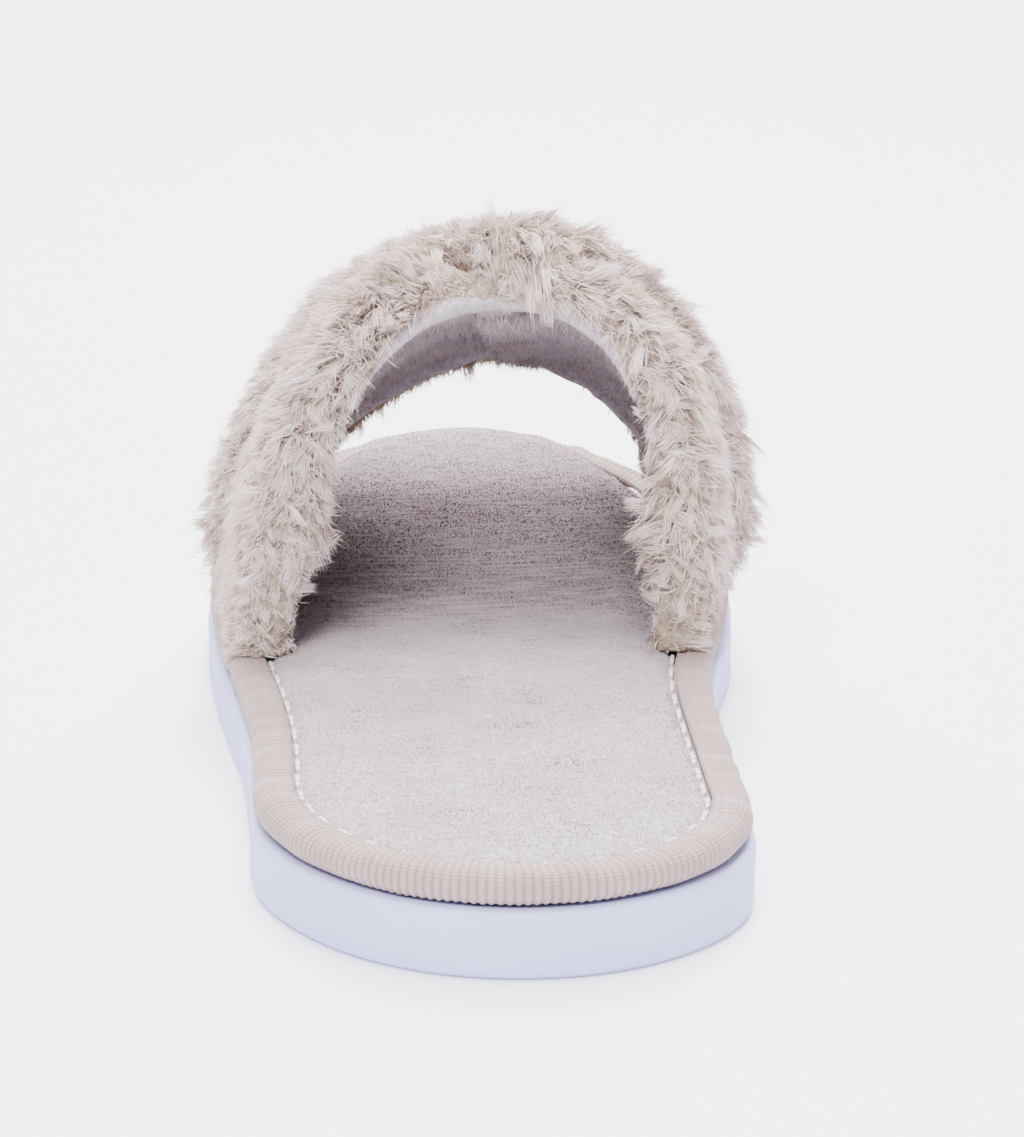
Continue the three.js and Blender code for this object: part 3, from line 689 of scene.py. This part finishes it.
def groove_cutter():
    """Chevron bars under the heel and the ball, each trimmed to stay inside the rim."""
    points, faces = [], []
    middle = LENGTH / 2
    step = 1
    rows = []
    while step * GROOVE_PITCH < middle:
        rows += [middle - step * GROOVE_PITCH, middle + step * GROOVE_PITCH]
        step += 1
    for y in rows:
        if abs(y - middle) < SHANK_HALF or not TREAD_FROM_HEEL <= y <= LENGTH - TREAD_FROM_TOE:
            continue
        left = edge_x(y - GROOVE_CHEVRON, -1) + GROOVE_EDGE_MARGIN
        right = edge_x(y - GROOVE_CHEVRON, 1) - GROOVE_EDGE_MARGIN
        half = GROOVE_WIDTH / 2
        start = sum(len(p) for p in points)
        x = np.linspace(left, right, 41)
        reach = np.where(x < 0, -left, right)
        lag = GROOVE_CHEVRON * np.abs(x) / reach
        ring = []
        for sign, deep in ((-1, -2.0), (1, -2.0), (1, GROOVE_DEPTH), (-1, GROOVE_DEPTH)):
            yy = y + sign * half * (1.0 if deep < 0 else GROOVE_NARROWS) - lag
            ring.append(np.stack([x, yy, spring_at(yy) + deep], -1))
        ring = np.array(ring).transpose(1, 0, 2)
        points.append(ring.reshape(-1, 3))
        faces.append(start + grid_faces(len(x), 4, wrap_columns=True))
        ends = np.array([[3, 2, 1, 0], [0, 1, 2, 3]])
        ends[1] += (len(x) - 1) * 4
        faces.append(start + ends)
    return new_piece("cutter", np.concatenate(points), [np.concatenate(faces)], None, False)


outsole()

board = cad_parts["insole_board"]
board.data.materials.clear()
board.data.materials.append(BOARD)

# ---------------------------------------------------------------- edge binding

RIB_PITCH = 1.35
STITCH_PITCH = 8.6


def edge_binding():
    ribs = round(PERIMETER / RIB_PITCH)
    count = ribs * 4
    arc = np.arange(count) * PERIMETER / count
    points = outline_at(arc)
    middle = (GAP + TAPE_TOP) / 2
    bulge = TAPE_ROUND
    bends = np.linspace(0.5, 1.5, 13) * np.pi
    outer = [(TAPE_END, TAPE_TOP)]
    outer += [(TAPE_INSET + bulge + bulge * math.cos(a), middle + (TAPE_TOP - middle) * math.sin(a))
              for a in bends]
    outer += [(TAPE_END, GAP)]
    outer.insert(1, ((TAPE_END + outer[1][0]) / 2, TAPE_TOP))
    thin = TAPE_THICK * 0.9
    inner = [(TAPE_END, GAP + thin)]
    inner += [(TAPE_INSET + bulge + (bulge - thin) * math.cos(a),
               middle + (TAPE_TOP - middle - thin) * math.sin(a)) for a in bends[::-3]]
    inner += [(TAPE_END, TAPE_TOP - thin)]
    rib = np.cos(2 * np.pi * arc / RIB_PITCH * (ribs * RIB_PITCH / PERIMETER))
    pucker = np.cos(2 * np.pi * arc / PERIMETER * round(PERIMETER / STITCH_PITCH))
    lump = 0.22 * noise_field(raised(points, 0), 16, 11, 2)
    rings, across = [], []
    for i, (inset, height) in enumerate(outer + inner):
        out = np.array([TAPE_INSET + bulge - inset, height - middle])
        out = out / np.linalg.norm(out)
        swell = 0.0
        if i < len(outer):
            top = max(0.0, out[1])
            swell = 0.13 * rib + (0.16 * pucker + 0.1) * top + lump * (0.4 + 0.6 * top)
            swell = swell * (0.35 if i == 0 else 1.0)
        flat = inset_points(points, inset - out[0] * swell)
        rings.append(raised(flat, SOLE_HEIGHT + height + out[1] * swell))
        across.append(i / (len(outer) - 1))
    rings = np.array(rings)
    u = np.broadcast_to(arc / PERIMETER * ribs, rings.shape[:2])
    v = np.broadcast_to(np.array(across)[:, None], rings.shape[:2])
    faces = grid_faces(len(rings), count, wrap_rows=True, wrap_columns=True)
    uv = np.stack([u, v], -1).reshape(-1, 2)
    piece = new_piece("edge_tape", rings, [faces], [("Weave", uv)])
    unwrap_seam(piece, "Weave", ribs)
    finish_piece(piece, TAPE, "ribbed_tape", "edge_binding")


def unwrap_seam(piece, title, turns):
    """Where a map's u runs back to 0, its last faces go on to the full count instead."""
    layer = piece.data.uv_layers[title]
    uv = np.zeros(len(layer.uv) * 2, np.float32)
    layer.uv.foreach_get("vector", uv)
    uv = uv.reshape(-1, 4, 2)
    wide = np.ptp(uv[..., 0], axis=1) > turns / 2
    uv[..., 0] += np.where(wide[:, None] & (uv[..., 0] < turns / 2), turns, 0)
    layer.uv.foreach_set("vector", uv.ravel())


edge_binding()

# ---------------------------------------------------------------- footbed


def footbed():
    count = 460
    past = np.array([-2.8, -1.4, 0, 0.5, 1.0, 1.5, 2.0, 2.8, 3.8, 5, 6.4, 8, 10, 12, CROWN_RAMP])
    shares = np.append(np.linspace(0, 0.965, 22)[1:], [0.982, 0.995])
    edge = TAPE_END + GAP

    def top(inset, y):
        seam = 0.35 * np.exp(-((inset - edge - 0.4) / 0.7) ** 2)
        return SOLE_HEIGHT + cover_top(inset, y) - seam * (inset > edge - 0.5)

    def bottom(inset, y):
        return SOLE_HEIGHT + BOARD_TOP + GAP / 2

    upper = [(edge + p, 0, top) for p in past] + [(edge + CROWN_RAMP, s, top) for s in shares]
    lower = [(edge + CROWN_RAMP, 0.995, bottom), (edge + CROWN_RAMP, 0.4, bottom),
             (edge + 4, 0, bottom), (edge - 2.8, 0, bottom)]
    rings = sole_rings(count, lower + upper)
    place = rings[..., :2].reshape(-1, 2) / LENGTH
    piece = new_piece("velour_footbed", rings, closed_rings(rings), [("Place", place)])
    loose = np.zeros(rings.shape[:2])
    inward = np.array([p if s == 0 else CROWN_RAMP + 10 for p, s in
                       [(p, 0) for p in past] + [(0, s) for s in shares]])
    loose[len(lower):] = smooth(4, CROWN_RAMP, inward)[:, None]
    inflate(piece, loose.ravel(), 1.4)
    finish_piece(piece, VELOUR, "velour", "footbed_cover", "insole_foam")
    top_grid = places(piece.data).reshape(rings.shape)[len(lower) + 2:]
    return np.concatenate([top_grid, top_grid[:, :1]], 1)


def places(mesh):
    """A mesh's points in mm, with the heel tip at y 0."""
    flat = np.zeros(len(mesh.vertices) * 3, np.float32)
    mesh.vertices.foreach_get("co", flat)
    return flat.reshape(-1, 3) / MM + (0, LENGTH / 2, 0)


CLOTH_FRAMES = 12


def inflate(piece, loose, cap):
    """Cloth simulation: the cover swells over its foam where loose is over 0, by up to cap mm."""
    group = piece.vertex_groups.new(name="held")
    held = np.round((1 - loose) * 10).astype(int)
    for level in range(1, 11):
        group.add(np.flatnonzero(held == level).tolist(), level / 10, "REPLACE")
    before = places(piece.data)
    cloth = piece.modifiers.new("cloth", "CLOTH")
    cloth.settings.quality = 4
    cloth.settings.mass = 0.15
    cloth.settings.tension_stiffness = cloth.settings.compression_stiffness = 8
    cloth.settings.bending_stiffness = 0.3
    cloth.settings.use_pressure = True
    cloth.settings.uniform_pressure_force = 4
    cloth.settings.vertex_group_mass = "held"
    cloth.settings.effector_weights.gravity = 0
    cloth.collision_settings.use_collision = False
    scene = bpy.context.scene
    for number in range(1, CLOTH_FRAMES + 1):
        scene.frame_set(number)
    graph = bpy.context.evaluated_depsgraph_get()
    moved = places(piece.evaluated_get(graph).data) - before
    far = np.linalg.norm(moved, axis=-1, keepdims=True)
    moved *= np.minimum(1, cap / np.maximum(far, 1e-6))
    piece.modifiers.clear()
    scene.frame_set(1)
    after = (before + moved - (0, LENGTH / 2, 0)) * MM
    piece.data.vertices.foreach_set("co", after.astype(np.float32).ravel())
    piece.data.update()


BED_TOP = footbed()


def stitches():
    """One thread bead for each stitch, dipping into the cover at both ends."""
    count = round(PERIMETER / STITCH_PITCH)
    sides, steps = 8, 11
    radius = 0.42
    inset = TAPE_END + 0.75
    points, quads, fans, uvs = [], [], [], []
    turn = np.linspace(0, 2 * np.pi, sides, endpoint=False)
    for i in range(count):
        t = np.linspace(0, 1, steps)
        arc = (i + 0.12 + 0.76 * t) * PERIMETER / count
        flat = inset_points(outline_at(arc), inset)
        ends = 1 - (2 * t - 1) ** 2
        height = SOLE_HEIGHT + cover_top(inset, flat[:, 1]) + lerp(-0.5, 0.45, ends ** 0.6)
        line = raised(flat, height)
        ahead = unit(np.gradient(line, axis=0))
        aside = unit(np.cross(ahead, (0, 0, 1.0)))
        up = np.cross(aside, ahead)
        size = radius * (0.35 + 0.65 * ends ** 0.4)
        ring = (aside[:, None] * np.cos(turn)[None, :, None]
                + up[:, None] * np.sin(turn)[None, :, None]) * size[:, None, None]
        start = i * steps * sides
        points.append((line[:, None] + ring).reshape(-1, 3))
        quads.append(start + grid_faces(steps, sides, wrap_columns=True))
        cap = np.arange(sides)
        fan = np.stack([np.zeros(sides - 2, int), cap[1:-1], cap[2:]], -1)
        fans.append(np.concatenate([start + fan[:, ::-1], start + (steps - 1) * sides + fan]))
        uvs.append(np.stack(np.meshgrid(t * 5, turn / (2 * np.pi), indexing="ij"), -1).reshape(-1, 2))
    faces = [np.concatenate(quads), np.concatenate(fans)]
    piece = new_piece("footbed_stitches", np.concatenate(points), faces,
                      [("Twist", np.concatenate(uvs))])
    finish_piece(piece, THREAD, "thread", "footbed_stitching")


stitches()

# ---------------------------------------------------------------- strap lining, turned edges and fringe


def upper_edge(s, edge):
    """y of the upper's outermost edge, at the front (1) or the rear (-1)."""
    spread = np.sin((np.pi / 2) * np.clip(s / STRAP_SPREAD, -1, 1))
    return CROSSING_Y + edge * (STRAP_SKEW * np.sqrt(spread ** 2 + 0.0009) + half_width(s))


LINING_INSET = 1.6


def side_lining(name, start, overlap, seed, *nodes):
    """The plush inside one half of the upper. start gives the s at which it begins, at the rear
    and at the front, and overlap is how far it stands off there, over the other half."""
    rows, across = 120, 84
    side = 1 if start[0] < 0 else -1
    t = np.linspace(0, 1, rows)[:, None]
    v = np.linspace(0, 1, across)[None, :]
    s = lerp(lerp(start[0], start[1], v), side, t)
    y = lerp(upper_edge(s, -1) + LINING_INSET, upper_edge(s, 1) - LINING_INSET, v)
    off = overlap * smooth(0.34, 0.0, t) + 0 * v
    rim = np.minimum(np.minimum(t * 60, v * 40), (1 - v) * 40)
    puff = 0.45 * smooth(0, 1, rim)
    wave = 0.22 * noise_field(strap_point(UNDER, s, y, 0.0), 24, seed, 2)
    inner = strap_point(UNDER, s, y, LINING_IN + 0.4 - off - puff + wave)
    outer = strap_point(UNDER, s, y, LINING_OUT - off - 0.1)
    rings = np.concatenate([inner, outer[:, ::-1]], 1)
    piece = new_piece(f"{name}_plush_lining", rings, closed_rings(rings))
    finish_piece(piece, PLUSH, "plush", *nodes)
    fuzz(f"{name}_lining_pile", inner, 32000, 1.9, 0.15, (0.1 * side, 0.75, -0.2), seed + 7,
         SHADED_PLUSH_PILE, "plush", -side)


def edge_roll(name, edge, *nodes):
    """The turned edge of the fur cloth, a soft roll beside the lining on the inside."""
    stations, around = 220, 14
    turn = np.linspace(0, 2 * np.pi, around, endpoint=False)[None, :]
    s = np.linspace(-1, 1, stations)[:, None]
    away = smooth(0.3, 0.8, np.abs(s))
    full = lerp(0.8, 1.0, smooth(0.0, 0.16, np.abs(s)))
    centre = lerp(0.9, FUR_LIP + 1.2, away)
    wide = lerp(1.9, 2.4, away) * full
    y = upper_edge(s, edge) - edge * (centre + wide * np.cos(turn))
    out = LINING_IN - lerp(0.9, 0.4, away) - lerp(1.7, 0.9, away) * full * np.sin(turn) * edge
    rings = strap_point(UNDER, s, y, out)
    rings += 0.12 * noise_field(rings, 9, 21 + edge, 2)[..., None]
    piece = new_piece(name, rings, closed_rings(rings))
    finish_piece(piece, ROLL, "thread", *nodes)


def fringe():
    """Loose ends of the fur cloth, hanging along the front edge on the inside."""
    s = np.linspace(-0.8, 0.12, 160)[:, None]
    inward = np.linspace(0.2, 1.6, 4)[None, :]
    strip = strap_point(UNDER, s, upper_edge(s, 1) - inward, LINING_IN - 0.3 + 0 * inward)
    fuzz("front_fringe", strip, 5200, 3.0, 0.17, (0.0, 0.75, -0.5), 81, FRINGE, "fur", 1)


ROLL = velour_material("turned_edge", rgb(222, 218, 230), rgb(204, 198, 210), (1, 1, 1), 760)

# ---------------------------------------------------------------- fur


def fur_sections(strap, stations):
    """Matching paths across a strap, from the front lip to the rear one: along the cloth that
    the pile grows from, along the pile's tips, and along the back of the cloth's core. Each is
    (stations, points, 3)."""
    s = np.linspace(-1, 1, stations)[:, None]
    half = half_width(s)
    centre = centre_y(strap, s)
    away = np.abs(s)

    def side(edge):
        wrap = smooth(-0.15, 0.12, -edge * strap["rear"] * s)
        over = overhang(strap, s, edge)
        over = np.maximum(over, 3.4 * smooth(0.4, 0.7, away)) * lerp(1, 0.3, smooth(0.78, 1, away))
        wall = half + GAP
        lift = lift_at(strap, s, centre + edge * half)
        tucked = LINING_IN if strap["lifted"] else LINING_OUT
        lip_top = lerp(tucked, LINING_IN - GAP - lift, smooth(0, 0.5, wrap))
        full = FUR_REAR_LIP_THICK if edge < 0 else FUR_FRONT_LIP_THICK
        low = 1 - smooth(0.74, 1.0, away)
        deep = 0.5 + full * low * (0.3 * smooth(0.25, 0.55, away) + 0.75 * smooth(0.55, 0.8, away))
        lip_end = lip_top - lerp(0.3, deep, wrap)
        reach = FUR_LIP * smooth(0.5, 1, wrap) * lerp(0.15, 1.0, smooth(0.35, 0.9, away))
        thick = fur_at(strap, s, centre + edge * (half + over))
        rim = FUR_IN + 0.92 * fur_at(strap, s, centre + edge * half)
        pairs = [
            ((wall + 0.3 - reach, lip_top), (wall + 0.15 - reach, lip_end - 0.1)),
            ((wall + 0.1 - 0.35 * reach, lip_top), (wall + 0.4 * (over - GAP), lip_end - 0.3)),
            ((wall + 0.05, lerp(lip_top, FUR_IN, 0.45)),
             (half + over, lerp(FUR_IN + 0.3, LINING_IN, wrap))),
            ((wall - 0.1, FUR_IN), (half + 0.9 * over, FUR_IN + 0.55 * thick)),
            ((half - 1.8, FUR_IN), (half - 1, rim)),
        ]
        back = [wall + 0.3 - reach, wall + 0.1 - 0.35 * reach, wall - 0.3, wall - 0.6, half - 1.8]
        backs = [lip_top, lip_top + 0 * s, np.maximum(lip_top, LINING_OUT), LINING_OUT, LINING_OUT]
        return [tuple((edge * u, out) for u, out in (*pair, (b, level)))
                for pair, b, level in zip(pairs, back, backs)]

    paths = side(1)
    for share in np.linspace(0.8, -0.8, 9):
        u = share * (half - 2)
        paths.append(((u, FUR_IN), (u, FUR_IN + fur_at(strap, s, centre + u)), (u, LINING_OUT)))
    paths += side(-1)[::-1]
    return [np.stack([strap_point(strap, s, centre + u, out + 0 * s)[:, 0] for u, out in layer], 1)
            for layer in zip(*paths)]


def refined(grid, between):
    """Catmull-Rom through a grid's columns, with this many steps between each pair."""
    before = np.concatenate([grid[:, :1], grid[:, :-2]], 1)
    after = np.concatenate([grid[:, 2:], grid[:, -1:]], 1)
    a, b, c, d = before, grid[:, :-1], grid[:, 1:], after
    columns = []
    for t in np.arange(between) / between:
        columns.append(0.5 * (2 * b + (c - a) * t + (2 * a - 5 * b + 4 * c - d) * t ** 2
                              + (3 * b - 3 * c + d - a) * t ** 3))
    stacked = np.stack(columns, 2).reshape(len(grid), -1, 3)
    return np.concatenate([stacked, grid[:, -1:]], 1)


def at(grid, i, k):
    """Bilinear places in a grid."""
    i0 = np.clip(i.astype(int), 0, grid.shape[0] - 2)
    k0 = np.clip(k.astype(int), 0, grid.shape[1] - 2)
    fi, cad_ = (i - i0)[:, None], (k - k0)[:, None]
    low = lerp(grid[i0, k0], grid[i0, k0 + 1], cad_)
    high = lerp(grid[i0 + 1, k0], grid[i0 + 1, k0 + 1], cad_)
    return lerp(low, high, fi)


def scatter(surface, weight, count, rng):
    """Random places on a grid, as float row and column, as dense as area times weight."""
    across = np.diff(surface, axis=1)[:-1]
    along = np.diff(surface, axis=0)[:, :-1]
    area = np.linalg.norm(np.cross(across, along), axis=-1) * weight
    total = np.cumsum(area.ravel())
    cell = np.searchsorted(total, rng.uniform(0, total[-1], count))
    i, k = np.unravel_index(np.minimum(cell, area.size - 1), area.shape)
    return i + rng.uniform(size=count), k + rng.uniform(size=count)


# The pile stands higher on the outer shoulder of the arch, as a share and at these s.
SHOULDER, SHOULDER_S, SHOULDER_HALF = 0.3, -0.3, 0.16


def tuft_ends(grids, i, k, rng, spread):
    """Where a strand that grows at a place ends, and how it leaves the cloth."""
    root, tip, along, across = (at(g, i, k) for g in grids)
    pile = tip - root
    height = np.linalg.norm(pile, axis=-1, keepdims=True)
    out = pile / np.maximum(height, 1e-6)
    last = grids[0].shape[0] - 1
    down = unit(along) * np.sign(i / last - 0.5)[:, None]
    s = 2 * i / last - 1
    away = np.abs(s)[:, None]
    low = smooth(0.84, 1.0, away)
    lay = (rng.normal(0.34, 0.34, (len(i), 1)) - 0.25 * low) * spread
    sway = rng.normal(0.0, 0.5, (len(i), 1)) * spread
    droop = np.array([0, 0, -0.06])
    stand = height * np.clip(rng.normal(0.76, 0.08, (len(i), 1)), 0.5, 0.92)
    stand = stand * lerp(1, 0.88, smooth(0.35, 0.7, away))
    stand = stand * (1 + SHOULDER * np.exp(-((s - SHOULDER_S) / SHOULDER_HALF) ** 2))[:, None]
    end = out * stand + height * (lay * down + sway * unit(across) + droop)
    start = out * stand * 0.72 - height * 0.08 * (lay * down)
    return root, start, end


def ribbons(points, width, rng, face):
    """Tapered flat strands. points is (strands, points along, 3)."""
    count, steps = points.shape[:2]
    ahead = unit(np.gradient(points, axis=1))
    toward = face[:, None] + rng.normal(0, 0.55, (count, 1, 3))
    aside = unit(np.cross(ahead, toward))
    t = np.linspace(0, 1, steps)
    taper = np.interp(t, [0, 0.35, 0.8, 1], [0.8, 1.0, 0.6, 0.0])
    offset = aside * (width[:, None] * taper[None])[..., None] / 2
    left, right = points - offset, points + offset
    body = np.stack([left, right], 2)[:, :-1].reshape(count, -1, 3)
    verts = np.concatenate([body, points[:, -1:]], 1)
    size = verts.shape[1]
    base = np.arange(count)[:, None] * size
    quads = np.concatenate([base + [2 * j, 2 * j + 1, 2 * j + 3, 2 * j + 2]
                            for j in range(steps - 2)])
    tips = base + [size - 3, size - 2, size - 1]
    v = np.concatenate([np.repeat(t[:-1], 2), [1.0]])
    return verts, quads, tips, v


def strands_piece(name, points, width, face, tint, rng):
    verts, quads, tips, v = ribbons(points, width, rng, face)
    wide = np.array([0.0, 1.0] * (len(v) // 2) + [0.5]) * 0.006
    u = np.clip(tint, 0.005, 0.985)[:, None] + wide[None]
    vv = np.broadcast_to(0.01 + 0.98 * v, u.shape)
    uv = np.stack([u, vv], -1).reshape(-1, 2)
    return new_piece(name, verts, [quads, tips], [("OFBake", uv)])


def height_at(grids, i, k):
    return np.linalg.norm(at(grids[1], i, k) - at(grids[0], i, k), axis=-1)


def grow(grids, count, guides, seed):
    """Strands that gather into tufts. Returns their points, facing vectors and tints."""
    rng = np.random.default_rng(seed)
    surface = lerp(grids[0], grids[1], 0.6)
    height = np.linalg.norm(grids[1] - grids[0], axis=-1)[:-1, :-1]
    weight = np.clip(height / FUR_THICK, 0.25, 1.0)
    gi, gk = scatter(surface, weight, guides, rng)
    g_root, g_start, g_end = tuft_ends(grids, gi, gk, rng, 1.0)
    g_tint = np.clip(rng.normal(0.55, 0.22, guides), 0, 1)
    g_long = rng.normal(1.0, 0.14, guides)
    tree = KDTree(guides)
    anchor = g_root + 0.5 * g_start
    for n, p in enumerate(anchor):
        tree.insert(p, n)
    tree.balance()
    i, k = scatter(surface, weight, count, rng)
    root, start, end = tuft_ends(grids, i, k, rng, 0.8)
    near = np.array([tree.find(p)[1] for p in root + 0.5 * start])
    loose = rng.uniform(size=count) < 0.24
    pull = np.where(loose, 0.1, rng.uniform(0.2, 0.62, count))[:, None, None]
    follow = np.where(loose, 0.15, 0.8)[:, None]
    start = lerp(start, g_start[near], follow)
    end = lerp(end, g_end[near], follow)
    t = np.linspace(0, 1, 6)[None, :, None]
    long = np.clip(g_long[near] * rng.normal(1.0, 0.08, count), 0.62, 1.1)[:, None, None]
    path = (2 * t * (1 - t) * start[:, None] + t * t * end[:, None]) * long
    aside = (g_root[near] - root)[:, None]
    points = root[:, None] + path + aside * pull * t ** 1.4
    bend = lerp(unit(rng.normal(size=(count, 3))), unit(rng.normal(size=(guides, 3)))[near], 0.6)
    turns = (3.2 + 1.6 * g_tint[near] + rng.normal(0, 0.5, count))[:, None, None]
    curl = bend[:, None] * np.clip(height_at(grids, i, k) * 0.11, 0.1, 0.95)[:, None, None]
    points = points + curl * np.sin(t * turns) * t ** 0.7
    floor = floor_at(points[..., 0], points[..., 1]) + 0.25
    outside = outside_sole(points)
    points[..., 2] = np.where(outside, points[..., 2], np.maximum(points[..., 2], floor))
    tint = np.clip(g_tint[near] + rng.normal(0, 0.12, count), 0, 1)
    face = unit(at(grids[1], i, k) - at(grids[0], i, k))
    return points, face, tint


def outside_sole(points):
    x, y = points[..., 0], points[..., 1]
    return (x < edge_x(y, -1) + 1) | (x > edge_x(y, 1) - 1)


STRANDS = 120000
TUFTS = 3600
STRAND_WIDTH = 0.21
PILE_PARTS = 6


def strap_fur(name, strap, seed):
    roots, tips, back = (refined(g, 4) for g in fur_sections(strap, 220))
    grids = (roots, tips, np.gradient(tips, axis=0), np.gradient(tips, axis=1))

    shell = lerp(roots, tips, 0.34)
    outward = unit(tips - roots)
    shell += outward * (0.5 * noise_field(shell, 7, seed, 3))[..., None]
    rings = np.concatenate([shell, back[:, ::-1]], 1)
    base = new_piece(f"{name}_fur_underlayer", rings, closed_rings(rings))
    finish_piece(base, FLEECE, "fur", f"{name}_fur", f"{name}_foam")

    rng = np.random.default_rng(seed + 100)
    count = STRANDS
    points, face, tint = grow(grids, count, TUFTS, seed)
    width = STRAND_WIDTH * rng.uniform(0.7, 1.25, count) * 1.0
    for part in range(PILE_PARTS):
        pick = slice(part, None, PILE_PARTS)
        piece = strands_piece(f"{name}_pile_{part + 1}", points[pick], width[pick], face[pick],
                              tint[pick], rng)
        finish_piece(piece, FUR, "fur")


# Where the painted shade on the footbed under the straps begins, is full, fades and ends, as y.
SHADE_BAND_STARTS, SHADE_BAND_FULL, SHADE_BAND_FADES, SHADE_BAND_ENDS = 126, 166, 206, 232


def fuzz(name, surface, count, long, width, nap, seed, material, slot, turn=1, parts=1, band=0):
    """Short fibres all over a grid, lying the way of the vector nap, in low ridges across it.
    Band is how strongly painted shade darkens them under the straps."""
    rng = np.random.default_rng(seed)
    along, across = np.gradient(surface, axis=0), np.gradient(surface, axis=1)
    i, k = scatter(surface, 1.0, count, rng)
    root, rows, columns = (at(g, i, k) for g in (surface, along, across))
    rows, columns = unit(rows), unit(columns)
    up = unit(np.cross(rows, columns)) * turn
    ridge = noise_field(root * (0.12, 1, 1), 2.4, seed + 2, 2)
    lie = np.array(nap) * (1 + 0.45 * ridge[:, None]) + rng.normal(0, 0.28, (count, 3))
    lie -= up * np.sum(lie * up, -1, keepdims=True)
    size = long * np.clip(rng.normal(1, 0.25, count), 0.4, 1.7)[:, None]
    middle = root + size * 0.5 * (up + 0.4 * lie)
    points = np.stack([root - 0.15 * up, middle, root + size * (0.75 * up + lie)], 1)
    y = root[:, 1]
    # Painted shade: under the straps the fibres get darker tints, and their ridge streaks show
    # stronger.
    dark = smooth(SHADE_BAND_STARTS, SHADE_BAND_FULL, y) * smooth(SHADE_BAND_ENDS, SHADE_BAND_FADES, y) * band
    shade = 0.64 - 0.5 * dark + 0.12 * noise_field(root, 16, seed + 1, 3)
    shade = shade + lerp(0.1, 0.4, dark) * ridge + rng.normal(0, 0.05, count)
    shade = np.clip(shade, 0, 1)
    wide = width * rng.uniform(0.7, 1.3, count)
    for part in range(parts):
        pick = slice(part, None, parts)
        title = f"{name}_{part + 1}" if parts > 1 else name
        piece = strands_piece(title, points[pick], wide[pick], up[pick], shade[pick], rng)
        finish_piece(piece, material, slot)


# The footbed's fibres carry the full painted shade under the straps.
fuzz("footbed_pile", BED_TOP, 120000, 1.15, 0.17, (0.05, -0.9, 0.0), 71, VELOUR_PILE, "velour",
     -1, 3, 1.0)
side_lining("outer_side", (0.12, 0.12), 0.0, 61, "under_strap_lining")
side_lining("inner_side", (-0.075, -0.01), 3.0, 62, "over_strap_lining")
edge_roll("rear_turned_edge", -1, "over_strap_rear_seam", "under_strap_rear_seam")
edge_roll("front_turned_edge", 1, "over_strap_front_seam", "under_strap_front_seam")
fringe()
strap_fur("over_strap", OVER, 41)
strap_fur("under_strap", UNDER, 42)

# ---------------------------------------------------------------- floor


def studio_floor():
    m = Nodes("studio_floor", 0.5, 0.3)
    m.color(m.ramp(m.noise(3), [(0.3, (0.95, 0.95, 0.97, 1)), (0.7, (0.97, 0.97, 0.985, 1))]))
    m.shader.inputs["Emission Color"].default_value = (1.0, 1.0, 1.0, 1.0)
    m.shader.inputs["Emission Strength"].default_value = 0.3
    size, below = 9000.0, -0.2
    corners = [(x * size, y * size, below) for x, y in ((-1, -1), (1, -1), (1, 1), (-1, 1))]
    floor = new_piece("floor", corners, [np.array([[0, 1, 2, 3]])])
    floor.data.materials.append(m.material)


studio_floor()
